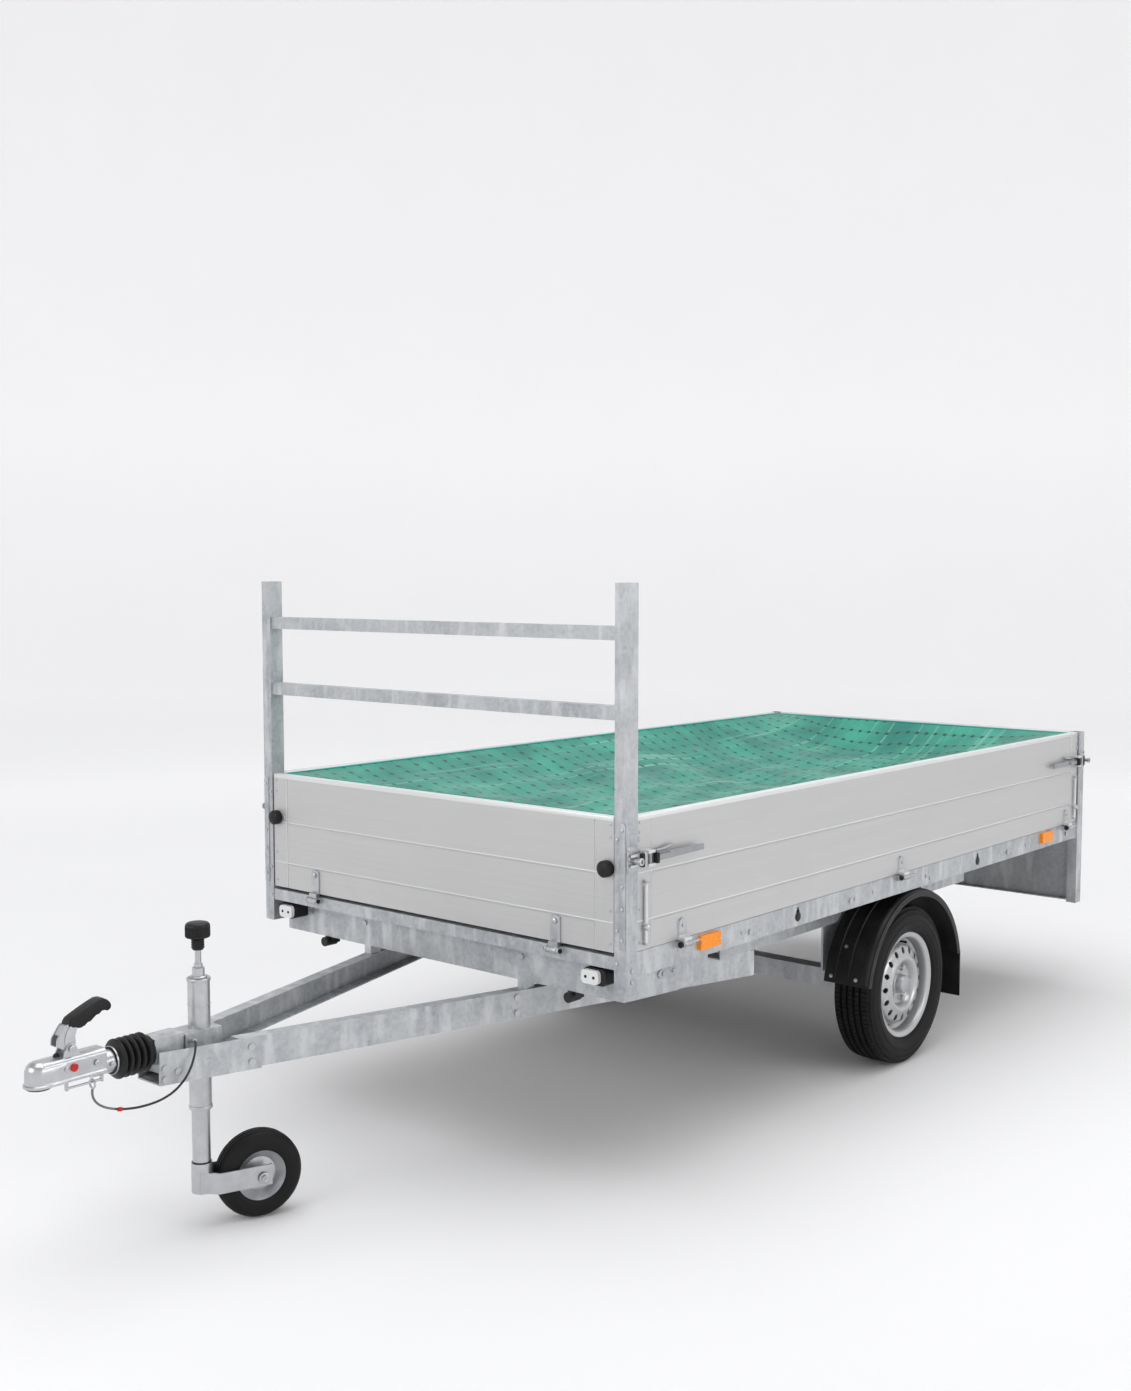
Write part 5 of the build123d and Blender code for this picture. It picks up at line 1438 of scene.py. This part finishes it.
@dataclass
class JockeyWheel:
    """The jockey wheel's knob, collars, solid tyre and axle nuts."""

    turn: float = 19.7
    tube: float = 0.0285
    half_tyre: float = 0.0375

    @property
    def axis(self) -> Vector:
        """The direction of the jockey wheel's axle."""
        turn = math.radians(self.turn)
        return Vector((math.cos(turn), -math.sin(turn), 0.0))

    def build(self) -> None:
        """Turn the knob and the collars, mould the tyre and fit the axle's nuts."""
        self.knob()
        self.collars()
        self.tyre()
        self.nuts()

    def nuts(self) -> None:
        """Fit washers and nuts on the fork's axle and the dark ring above the fork."""
        low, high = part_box("jockey_tyre")
        centre = (low + high) / 2
        places = [(centre + self.axis * sign * 0.0520, self.axis * sign) for sign in (-1, 1)]
        seat = [(0.0, 0.0), (0.0, 0.0145), (0.0018, 0.0145), (0.0022, 0.0138), (0.0022, 0.0)]
        parts = [turned(f"washer_{number}", seat, spot, out, 32) for number, (spot, out) in enumerate(places)]
        outer = [(spot + out * 0.002, out) for spot, out in places]
        nuts = Fastener(Head.HEX, 0.0110, 0.0085).row("nuts", outer)
        dressed(joined("jockey_axle_nuts", parts + [nuts]), ZINC, "jockey_swivel")
        ring = [(0.0, 0.0232), (0.0, 0.0246), (0.0030, 0.0246), (0.0030, 0.0232)]
        dust_ring = turned("fork_dust_ring", ring, foot_of("jockey_inner_tube"), UP, 48)
        dressed(dust_ring, RUBBER, "jockey_leg")

    def knob(self) -> None:
        """Mould the mushroom knob with its ribbed neck."""
        low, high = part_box("jockey_knob")
        tall, wide = high.z - low.z, (high.x - low.x) / 2
        section = [(0.0, 0.0), (0.0, 0.0135), (0.002, 0.0145)]
        for ring in range(4):
            z = 0.004 + ring * 0.0062
            section += [(z, 0.0150), (z + 0.001, 0.0166), (z + 0.0040, 0.0168), (z + 0.005, 0.0150)]
        section += [
            (0.0300, 0.0185), (0.0318, 0.0260), (0.0325, wide - 0.0022), (0.0340, wide - 0.0006),
            (0.0365, wide), (tall - 0.0110, wide), (tall - 0.0060, wide - 0.0012),
            (tall - 0.0025, wide - 0.0045),
            (tall - 0.0008, wide - 0.0100), (tall, wide - 0.0180), (tall, 0.0),
        ]
        knob = turned("jockey_hand_knob", section, foot_of("jockey_knob"), UP, 60)
        select_faces(knob, lambda polygon: abs(polygon.normal.z) < 0.1 and polygon.center.z > low.z + 0.0366)
        bpy.ops.mesh.inset(thickness=0.0006, depth=-0.0007, use_individual=True)
        bpy.ops.object.mode_set(mode="OBJECT")
        dressed(knob, PLASTIC, "jockey_screw", ("jockey_knob",), 40.0)

    def collars(self) -> None:
        """Turn the swaged collars of the outer tube."""
        foot = foot_of("jockey_outer_tube")
        axis = Vector((foot.x, foot.y, 0.0))
        rings = []
        for name, height, proud, tall in (
            ("top", 0.6480, 0.0022, 0.009),
            ("middle", 0.5860, 0.0012, 0.004),
            ("bottom", foot.z + 0.001, 0.0020, 0.010),
        ):
            low, mid, full = self.tube - 0.0006, self.tube + proud * 0.7, self.tube + proud
            section = [(0.0, low), (0.0006, mid), (0.0020, full), (tall - 0.0020, full), (tall - 0.0006, mid),
                       (tall, low)]
            rings.append(turned(f"collar_{name}", section, axis + UP * height, UP, 56))
        dressed(joined("jockey_collars", rings), ZINC, "chassis")
        cap = [(0.0, 0.0163), (0.0, 0.0225), (0.004, 0.0225), (0.0060, 0.0200), (0.0062, 0.0163)]
        dressed(turned("jockey_cap", cap, axis + UP * 0.6562, UP, 48), ZINC, "chassis")

    def tyre(self) -> None:
        """Mould the solid tyre with its grooves."""
        low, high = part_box("jockey_tyre")
        centre = (low + high) / 2
        radius = (high.z - low.z) / 2
        wall = ((0.0060, 0.0662), (0.0022, 0.0720), (0.0004, 0.0760), (0.0012, 0.0800), (0.0, 0.0840),
                (0.0006, 0.0920), (0.0040, 0.1015), (0.0090, 0.1075), (0.0150, 0.1108))
        side = [(self.half_tyre - inset, r) for inset, r in wall]
        crown = []
        for groove in (0.0150, 0.0, -0.0150):
            lift = radius - 1.6 * groove * groove * 4
            crown += [(groove + 0.0030, lift), (groove + 0.0018, lift - 0.0042),
                      (groove - 0.0018, lift - 0.0042), (groove - 0.0030, lift)]
        section = side + crown + [(-a, r) for a, r in reversed(side)]
        tyre = turned("jockey_solid_tyre", section, centre, self.axis, 84)
        dressed(tyre, TYRE, "jockey_wheel", ("jockey_tyre",), 30.0)


# --- bed hardware ------------------------------------------------------------------------


@dataclass
class MudguardTrim(Trim):
    """Raised ribs, rolled lips and screws on the moulded mudguards."""

    centre_back: float = 1.625
    centre_z: float = 0.262
    radius: float = 0.336
    ribs: tuple[float, ...] = (0.618, 0.668)
    roll: float = 0.0185
    lip: float = 0.7525

    @property
    def middle(self) -> Vector:
        """The guards' centre of curvature, on the cart's middle plane."""
        return self.spot(0.0, self.centre_back, self.centre_z)

    def build(self) -> None:
        """Model the ribs, the lips and the screws on both sides."""
        for side in Side:
            self.arch(side)
            self.screws(side)

    def arch(self, side: Side) -> None:
        """Spin the raised ribs and the rolled outer lip over one guard's back.

        Args:
            side: The cart's side.
        """
        start = math.radians(12.0)
        bands = []
        bead = [(-0.0055, 0.0), (-0.0030, 0.0034), (0.0030, 0.0034), (0.0055, 0.0), (0.0055, -0.002),
                (-0.0055, -0.002)]
        sections = [[(side.value * place + a, r) for a, r in bead] for place in self.ribs]
        turns = [math.radians(-25 + 230 * step / 12) for step in range(13)]
        curl = self.lip - self.roll
        sections.append([
            (side.value * (curl + self.roll * math.cos(turn)), -0.0125 + self.roll * math.sin(turn))
            for turn in turns
        ])
        for number, ring in enumerate(sections):
            points = [
                self.middle + LEFT * x + (REAR * math.cos(start) + UP * math.sin(start)) * (self.radius + r)
                for x, r in ring
            ]
            band = outline(f"rib_{side.label}_{number}", points, True)
            only(band)
            bpy.ops.object.mode_set(mode="EDIT")
            bpy.ops.mesh.select_all(action="SELECT")
            bpy.ops.mesh.spin(steps=44, angle=math.radians(156.0), center=self.middle, axis=(-1.0, 0.0, 0.0))
            bpy.ops.object.mode_set(mode="OBJECT")
            tidy_mesh(band)
            bands.append(band)
        dressed(joined(f"mudguard_ribs_{side.label}", bands), PLASTIC, "chassis", angle=50.0)

    def screws(self, side: Side) -> None:
        """Put the screw heads on one guard's outer lip.

        Args:
            side: The cart's side.
        """
        places = []
        for turn, place in ((166.0, 0.606), (166.0, 0.700), (148.0, 0.640), (30.0, 0.640)):
            out = REAR * math.cos(math.radians(turn)) + UP * math.sin(math.radians(turn))
            places.append((self.middle + LEFT * side.value * place + out * self.radius, out))
        screws = Fastener(Head.DOME, 0.0065, 0.0025).row(f"mudguard_screws_{side.label}", places)
        dressed(screws, ZINC, "chassis")


@dataclass
class PostTrim(Trim):
    """Splice plates, bolts and caps on the front posts."""

    bolt_heights: tuple[float, ...] = (1.012, 0.860, 0.800, 0.716)

    def build(self) -> None:
        """Model the plates, the bolts and the caps."""
        self.plates()
        self.bolts()
        self.caps()

    def plates(self) -> None:
        """Press the round-topped splice plates on the posts' front faces."""
        parts = []
        for side in Side:
            x = side.value * (self.half_width - 0.012)
            points = [self.spot(x + a, 0.0, z) for a, z in round_topped(0.0105, 0.690, 1.022, 8)]
            parts.append(pressed(f"splice_{side.label}", points, REAR * -0.003, 0.0008))
        dressed(joined("post_splice_plates", parts), GALVANISED, "chassis")

    def bolts(self) -> None:
        """Fit bolts through the splices and along the posts."""
        places = []
        for side in Side:
            outer = side.value * self.half_width
            splice = side.value * (self.half_width - 0.012)
            inner = side.value * (self.half_width - 0.031)
            places += [(self.spot(splice, -0.003, height), -REAR) for height in self.bolt_heights]
            places += [(self.spot(inner, 0.0, height), -REAR) for height in (0.985, 0.740, 0.650)]
            places += [(self.spot(outer, 0.025, height), LEFT * side.value) for height in (0.630, 0.600)]
        Fastener(Head.DOME, 0.0052, 0.003).fit("post_bolts", places, "chassis")

    def caps(self) -> None:
        """Weld the seam-edged cap plates on the rack's posts."""
        _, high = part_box("ladder_rack")
        parts = []
        for side in Side:
            middle = self.spot(side.value * (self.half_width - 0.020), 0.025, high.z - 0.0012)
            corners = ((1, 1), (-1, 1), (-1, -1), (1, -1))
            points = [middle + Vector((sx * 0.0165, sy * 0.0215, 0.0)) for sx, sy in corners]
            parts.append(pressed(f"cap_{side.label}", points, UP * 0.0011, 0.0004, 1))
        dressed(joined("post_caps", parts), GALVANISED, "chassis")


@dataclass
class PanelTrim:
    """Rubber buffers, rivets and profiles on the drop sides; the profiles' lighter aluminium is a painted
    highlight.
    """

    bottom: float = 0.678
    top: float = 1.044
    grooves: tuple[float, ...] = (0.21, 0.57)

    def build(self) -> None:
        """Fit the trim on all four drop sides."""
        self.buffers()
        self.front_rivets()
        self.side_rivets()
        for name, body, out in (
            ("front_panel", "front_panel_body", -REAR), ("tailgate", "tail_body", REAR),
            ("side_panel_left", "side_left", LEFT), ("side_panel_right", "side_right", -LEFT),
        ):
            self.profiles(name, body, out)

    def profiles(self, name: str, body: str, out: Vector) -> None:
        """Clip the top profile, the joint beads and the end ridges onto one drop side, in a lighter aluminium
        that paints the highlight on the top edge, the grooves and the ends.

        Args:
            name: The panel's CAD node.
            body: The body that it rides on.
            out: The direction that its outer face looks in.
        """
        low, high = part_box(name)
        along = LEFT if abs(out.y) > 0.5 else REAR
        middle, half = (low + high) / 2, abs((high - low).dot(along)) / 2
        face = abs((high - low).dot(out)) / 2
        begin = Vector((middle.x, middle.y, 0.0)) - along * (half - 0.0004)
        length = along * (2 * half - 0.0008)

        def strip(label: str, section: Sequence[tuple[float, float]], width: float) -> bpy.types.Object:
            """Extrude one profile along the panel."""
            points = [begin + out * a + UP * z for a, z in section]
            return pressed(f"{label}_{name}", points, length, width, 2, 40.0)

        rim = face + 0.0009
        skirt, crest = self.top - 0.013, self.top + 0.0012
        cap = [(-rim, skirt), (-rim, crest), (rim, crest), (rim, skirt)]
        parts = [strip("cap", cap, 0.0034)]
        for share in self.grooves:
            height = self.bottom + (self.top - self.bottom) * share + 0.0045
            bead = [(face - 0.001, height - 0.0022), (face + 0.0012, height - 0.0014),
                    (face + 0.0012, height + 0.0014), (face - 0.001, height + 0.0022)]
            parts.append(strip(f"bead_{round(100 * share)}", bead, 0.0003))
        for sign in (-1, 1):
            foot = Vector((middle.x, middle.y, self.bottom + 0.003))
            foot += along * sign * (half - 0.064) + out * (face - 0.001)
            ridge = ((-0.0016, 0.0), (-0.0010, 0.0020), (0.0010, 0.0020), (0.0016, 0.0))
            points = [foot + along * a + out * b for a, b in ridge]
            parts.append(plate(f"end_{name}_{sign + 1}", points, UP * (self.top - self.bottom - 0.018)))
        # The lighter aluminium paints the highlights on the top edge, the grooves and the ends.
        dressed(joined(f"{name}_profiles", parts), HIGHLIGHT_ALUMINIUM, body)

    def buffers(self) -> None:
        """Mould the round buffers on the front panel."""
        section = [(0.0, 0.0), (0.0, 0.0212), (0.0015, 0.0226), (0.0050, 0.0232), (0.0205, 0.0229),
                   (0.0235, 0.0205), (0.0258, 0.0165), (0.0272, 0.0110), (0.0279, 0.0050), (0.0280, 0.0)]
        low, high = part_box("front_panel")
        parts = []
        for side in Side:
            place = Vector((side.value * (high.x - 0.020), low.y, 0.905))
            parts.append(turned(f"buffer_{side.label}", section, place, -REAR, 40))
        dressed(joined("panel_buffers", parts), RUBBER, "front_panel_body", angle=50.0)
        places = [(Vector((side.value * (high.x - 0.050), low.y, 0.905)), -REAR) for side in Side]
        Fastener(Head.DOME, 0.0062, 0.003).fit("buffer_screws", places, "front_panel_body")

    def front_rivets(self) -> None:
        """Rivet the end profiles of the front panel and the tailgate."""
        for name, body, direction in (
            ("front_panel", "front_panel_body", -REAR),
            ("tailgate", "tail_body", REAR),
        ):
            low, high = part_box(name)
            face = low.y if direction.y < 0 else high.y
            places = [
                (Vector((sign * (high.x - 0.012), face, height)), direction)
                for sign in (-1, 1) for height in (0.700, 0.790, 0.990, 1.024)
            ]
            Fastener(Head.DOME, 0.0040, 0.0018, 10).fit(f"{name}_rivets", places, body)

    def side_rivets(self) -> None:
        """Rivet the end profiles of the side panels."""
        for side in Side:
            low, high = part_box(f"side_panel_{side.label}")
            face = high.x if side is Side.LEFT else low.x
            places = [
                (Vector((face, y, height)), LEFT * side.value)
                for y in (low.y + 0.012, high.y - 0.012) for height in (0.700, 0.790, 1.000, 1.026)
            ]
            rivets = Fastener(Head.DOME, 0.0040, 0.0018, 10).row(f"side_rivets_{side.label}", places)
            dressed(rivets, ZINC, f"side_{side.label}")


@dataclass
class LatchTrim(Trim):
    """Post plates, blocks, brackets and screws of the latches, and the upright rods' loops."""

    length: float = 3.050
    height: float = 0.930
    rod: float = 0.086

    def build(self) -> None:
        """Fit the trim at the four side latches."""
        for side in Side:
            screws, bolts, plates, rivets, eyes = [], [], [], [], []
            out = LEFT * side.value
            for end, place, away in (("front", 0.025, 1.0), ("rear", self.length - 0.025, -1.0)):
                pin = self.spot(side.value * self.half_width, place, self.height)
                screws.append((pin + out * 0.0280, out))
                plates.append(self.post_plate(f"post_plate_{side.label}_{end}", pin, away, out))
                bolts += [
                    (pin + REAR * away * -0.0165 + UP * z + out * 0.002, out) for z in (-0.024, 0.006, 0.031)
                ]
                self.block(side, end, pin, away)
                rivets.append((pin + REAR * away * 0.036 + UP * 0.052 - out * 0.006, out))
                back = self.rod if away > 0 else self.length - self.rod
                eyes.append(self.spot(pin.x + side.value * 0.001, back, 0.738))
            row = Fastener(Head.SOCKET, 0.0104, 0.0060, 24).row(f"latch_screws_{side.label}", screws)
            dressed(row, ZINC, "chassis")
            dressed(joined(f"latch_plates_{side.label}", plates), ZINC, "chassis")
            Fastener(Head.DOME, 0.0050, 0.0030).fit(f"latch_bolts_{side.label}", bolts, "chassis")
            body = f"side_{side.label}"
            Fastener(Head.DOME, 0.0062, 0.0035).fit(f"latch_rivets_{side.label}", rivets, body)
            self.rod_eyes(side, eyes, body)

    def post_plate(self, name: str, pin: Vector, away: float, out: Vector) -> bpy.types.Object:
        """Fold one latch's angle plate on its post.

        Args:
            name: The plate's name.
            pin: The post pin's foot.
            away: The direction along Y from the post to the lever.
            out: The side's outward direction.

        Returns:
            The plate.
        """
        shape = [(-0.0235, -0.030), (-0.020, -0.0335), (0.004, -0.0335), (0.010, -0.024), (0.0225, -0.020),
                 (0.0225, 0.026), (0.010, 0.030), (0.004, 0.0385), (-0.020, 0.0385), (-0.0235, 0.035)]
        return pressed(name, [pin + REAR * away * y + UP * z for y, z in shape], out * 0.0026, 0.0008)

    def block(self, side: Side, end: str, pin: Vector, away: float) -> None:
        """Build one latch's black blocks and silver bracket round the lever's root.

        Args:
            side: The cart's side.
            end: Front or rear.
            pin: The post pin's foot.
            away: The direction along Y from the post to the lever.
        """
        out = LEFT * side.value
        along = REAR * away
        rubber, metal = [], []
        for name, start, stop, half, base, depth, parts in (
            ("eye", 0.0175, 0.0300, 0.0190, 0.0112, 0.0115, rubber),
            ("gap", 0.0740, 0.0860, 0.0150, 0.0105, 0.0190, rubber),
            ("clamp", 0.0300, 0.0420, 0.0205, 0.0085, 0.0125, metal),
            ("foot", 0.0860, 0.1120, 0.0120, -0.0060, 0.0155, metal),
        ):
            shape = ((start, -half), (stop, -half), (stop, half), (start, half))
            points = [pin + along * y + UP * z + out * base for y, z in shape]
            parts.append(pressed(name, points, out * depth, 0.0030 if parts is rubber else 0.0022, 3, 40.0))
        wings = [(0.100, 0.0125), (0.128, 0.0120), (0.176, 0.0190), (0.180, 0.0235), (0.172, 0.0250),
                 (0.120, 0.0185), (0.100, 0.0180)]
        points = [pin + along * y + UP * z + out * 0.001 for y, z in wings]
        metal.append(pressed("wing", points, out * 0.0065, 0.0015, 2, 40.0))
        body = f"side_{side.label}"
        dressed(joined(f"latch_blocks_{side.label}_{end}", rubber), PLASTIC, body)
        dressed(joined(f"latch_bracket_{side.label}_{end}", metal), ZINC, body)

    def rod_eyes(self, side: Side, places: Sequence[Vector], body: str) -> None:
        """Thread the washers and guide loops onto the upright rods.

        Args:
            side: The cart's side.
            places: Points on the rods.
            body: The side panel's body.
        """
        parts = []
        for number, spot in enumerate(places):
            for height, r in ((0.0, 0.0125), (-0.046, 0.0075), (0.122, 0.0075)):
                ring = [(0.0, 0.0050), (0.0006, r - 0.0012), (0.0020, r), (0.0044, r),
                        (0.0058, r - 0.0012), (0.0064, 0.0050)]
                parts.append(turned(f"loop_{number}_{r}", ring, spot + UP * height, UP, 28))
            knob = [(0.0, 0.0), (0.0, 0.0085), (0.0040, 0.0100), (0.0085, 0.0085), (0.0110, 0.0040),
                    (0.0112, 0.0)]
            seat = spot + LEFT * side.value * 0.002 + UP * 0.003
            parts.append(turned(f"knob_{number}", knob, seat, LEFT * side.value, 28))
        dressed(joined(f"rod_loops_{side.label}", parts), ZINC, body)


@dataclass
class HingeTrim(Trim):
    """Round-topped straps, bolts and dark pin ends of the drop hinges."""

    half: float = 0.0172
    side_places: tuple[float, ...] = (0.257, 1.513, 2.887)
    hexagonal: float = 1.513

    def build(self) -> None:
        """Dress the front hinges and the side hinges."""
        self.front_straps()
        self.side_straps()

    def barrel(self, name: str, place: Vector, axis: Vector, reach: float) -> bpy.types.Object:
        """Turn the sleeve that wraps a strap round its pin.

        Args:
            name: The sleeve's name.
            place: Its middle.
            axis: The pin's direction.
            reach: Its radius at the ends.

        Returns:
            The sleeve.
        """
        ends, rim = self.half, self.half - 0.0012
        section = [(-ends, 0.0042), (-ends, reach), (-rim, reach + 0.0006), (rim, reach + 0.0006),
                   (ends, reach), (ends, 0.0042)]
        return turned(name, section, place, axis, 32)

    def front_straps(self) -> None:
        """Press the two straps of the front panel and wrap them round the pin."""
        low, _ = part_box("front_panel")
        parts, heads, ends = [], [], []
        axis = self.spot(0.0, -0.012, 0.658)
        for side in Side:
            x = side.value * (self.half_width - 0.247)
            shape = round_topped(self.half, 0.672, 0.7360, 10)
            points = [Vector((x + a, low.y - 0.0039, z)) for a, z in shape]
            parts.append(pressed(f"strap_{side.label}", points, -REAR * 0.0012, 0.0005))
            parts.append(self.barrel(f"wrap_{side.label}", axis + LEFT * x, LEFT, 0.0092))
            heads.append((Vector((x, low.y - 0.0051, 0.738)), -REAR))
            for sign in (-1, 1):
                end = [(0.0, 0.0), (0.0, 0.0064), (0.0035, 0.0064), (0.0046, 0.0050), (0.0046, 0.0)]
                spot = axis + LEFT * (x + sign * 0.0254)
                ends.append(turned(f"end_{side.label}_{sign + 1}", end, spot, LEFT * sign, 24))
        dressed(joined("front_hinge_straps", parts), ZINC, "front_panel_body")
        Fastener(Head.DOME, 0.0086, 0.0072, 20).fit("front_hinge_bolts", heads, "front_panel_body")
        dressed(joined("front_hinge_ends", ends), RUBBER, "chassis")

    def side_straps(self) -> None:
        """Press the bright barrels of the side hinges and fit their dark ends."""
        _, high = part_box("side_panel_left")
        tail = [(0.0, 0.0), (0.0, 0.0060), (0.0300, 0.0054), (0.0320, 0.0040), (0.0320, 0.0)]
        knob = [(0.0, 0.0), (0.0, 0.0088), (0.0070, 0.0088), (0.0090, 0.0066), (0.0090, 0.0)]
        for side in Side:
            out = LEFT * side.value
            parts, tails, knobs, heads = [], [], [], []
            for place in self.side_places:
                pin = self.spot(side.value * (self.half_width + 0.014), place, 0.668)
                parts.append(self.barrel(f"wrap_{place}", pin, REAR, 0.0084))
                face = Vector((side.value * (high.x + 0.0039), pin.y, 0.0))
                shape = round_topped(self.half, 0.690, 0.7200, 8)
                points = [face + REAR * a + UP * z for a, z in shape]
                parts.append(pressed(f"strap_{place}", points, out * 0.0013, 0.0005))
                heads.append((face + out * 0.0013 + UP * 0.716, out))
                tails.append(turned(f"tail_{place}", tail, pin + REAR * 0.0255, REAR, 24))
                flats = 6 if place == self.hexagonal else 24
                knobs.append(turned(f"knob_{place}", knob, pin - REAR * 0.0255, -REAR, flats))
            body = f"side_{side.label}"
            dressed(joined(f"side_hinge_straps_{side.label}", parts), ZINC, body)
            Fastener(Head.DOME, 0.0050, 0.0030).fit(f"side_hinge_rivets_{side.label}", heads, body)
            dressed(joined(f"side_hinge_pins_{side.label}", tails), ZINC, "chassis")
            dressed(joined(f"side_hinge_knobs_{side.label}", knobs), RUBBER, "chassis")


@dataclass
class FrameTrim(Trim):
    """Grommets, painted hole shades, rivets and nut plates on the side beams and their cheek plates."""

    cheek: float = 0.6985
    thick: float = 0.0064
    grommets: tuple[float, ...] = (0.866, 2.101)
    rivets: tuple[tuple[float, float], ...] = (
        (0.560, 0.640), (1.210, 0.636), (1.330, 0.640), (1.700, 0.640), (1.730, 0.628), (2.520, 0.640),
    )

    def build(self) -> None:
        """Fit the grommets, the nut plates and the rivets of both sides."""
        _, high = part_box("side_beams")
        for side in Side:
            out = LEFT * side.value
            face = side.value * high.x
            rings = []
            for place in self.grommets:
                axis = self.spot(face, place, 0.0)
                points = [axis + REAR * a + UP * (0.637 + z) for a, z in ellipse(0.0150, 0.0150, 24)]
                rings.append(pressed(f"grommet_{place}", points, out * 0.0016, 0.0006))
                # Painted shade: a thin black oval stands for the shade inside a small hole in the beam's
                # face.
                points = [axis + REAR * a + UP * (0.6625 + z) for a, z in ellipse(0.0046, 0.0040, 16)]
                rings.append(plate(f"hole_{place}", points, out * 0.0006))
            dressed(joined(f"beam_grommets_{side.label}", rings), RUBBER, "chassis")
            self.nut_plate(side, self.spot(side.value * self.cheek, 0.250, 0.578))
            bolts = [(self.spot(face, place, z), out) for place, z in self.rivets]
            Fastener(Head.DOME, 0.0060, 0.0028).fit(f"beam_rivets_{side.label}", bolts, "chassis")

    def nut_plate(self, side: Side, centre: Vector) -> None:
        """Bolt the oval nut plate onto one cheek plate.

        Args:
            side: The cart's side.
            centre: The plate's centre on the cheek plate.
        """
        out = LEFT * side.value
        points = []
        for step in range(32):
            turn = 2 * math.pi * step / 32
            blunt = math.copysign(abs(math.cos(turn)) ** 0.7, math.cos(turn))
            points.append(centre + REAR * (0.046 * blunt) + UP * (0.0165 * math.sin(turn)))
        oval = pressed("nut_plate", points, out * self.thick, 0.0010)
        dressed(joined(f"nut_plate_{side.label}", [oval]), GALVANISED, "chassis")
        bolts = [(centre + REAR * a + out * self.thick, out) for a in (-0.024, 0.024)]
        Fastener(Head.HEX, 0.0065, 0.0040).fit(f"nut_plate_bolts_{side.label}", bolts, "chassis")


@dataclass
class LightTrim:
    """Screws of the marker lights and the side reflectors."""

    def build(self) -> None:
        """Fit the screws of the front lenses and the reflectors' frames."""
        low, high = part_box("front_marker_lenses")
        places = []
        for side in Side:
            for offset in (0.016, 0.044):
                places.append((Vector((side.value * (high.x - offset), low.y, (low.z + high.z) / 2)), -REAR))
        dots = Fastener(Head.SOCKET, 0.0042, 0.0012, 16).row("marker_lens_screws", places)
        dressed(dots, PLASTIC, "chassis")
        low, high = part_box("side_reflectors")
        places = []
        for side in Side:
            for y in (low.y + 0.008, low.y + 0.092, high.y - 0.092, high.y - 0.008):
                places.append((Vector((side.value * high.x, y, (low.z + high.z) / 2)), LEFT * side.value))
        Fastener(Head.DOME, 0.0032, 0.0012, 10).fit("reflector_screws", places, "chassis")


# --- assembly ----------------------------------------------------------------------------


@dataclass
class Cart:
    """The whole cart: finishes on the CAD nodes and every new piece."""

    frame: dict[str, Any]
    soft: list[Any] = field(default_factory=lambda: [BreakawayCable(), CargoNet(), Bellows(), Grip()])
    hardware: list[Any] = field(
        default_factory=lambda: [
            RoadWheel(Side.LEFT), RoadWheel(Side.RIGHT), CouplingTrim(), JockeyWheel(), MudguardTrim(),
            PostTrim(), PanelTrim(), LatchTrim(), HingeTrim(), FrameTrim(),
            LightTrim(),
        ]
    )

    def paint_frame(self) -> None:
        """Give each CAD node its finish."""
        for finish, names in NODE_FINISHES.items():
            for name in names:
                node = self.frame["nodes"][name]
                node.data.materials.clear()
                node.data.materials.append(finish.material())

    def build(self) -> None:
        """Paint the frame and build every sub-assembly in order."""
        self.paint_frame()
        for part in self.soft + self.hardware:
            part.build()
            LOG.info("finished %s", type(part).__name__)


def main() -> None:
    """Load the frame and build the set and the cart."""
    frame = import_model()
    Studio().build()
    Cart(frame).build()


if __name__ == "__main__":
    main()
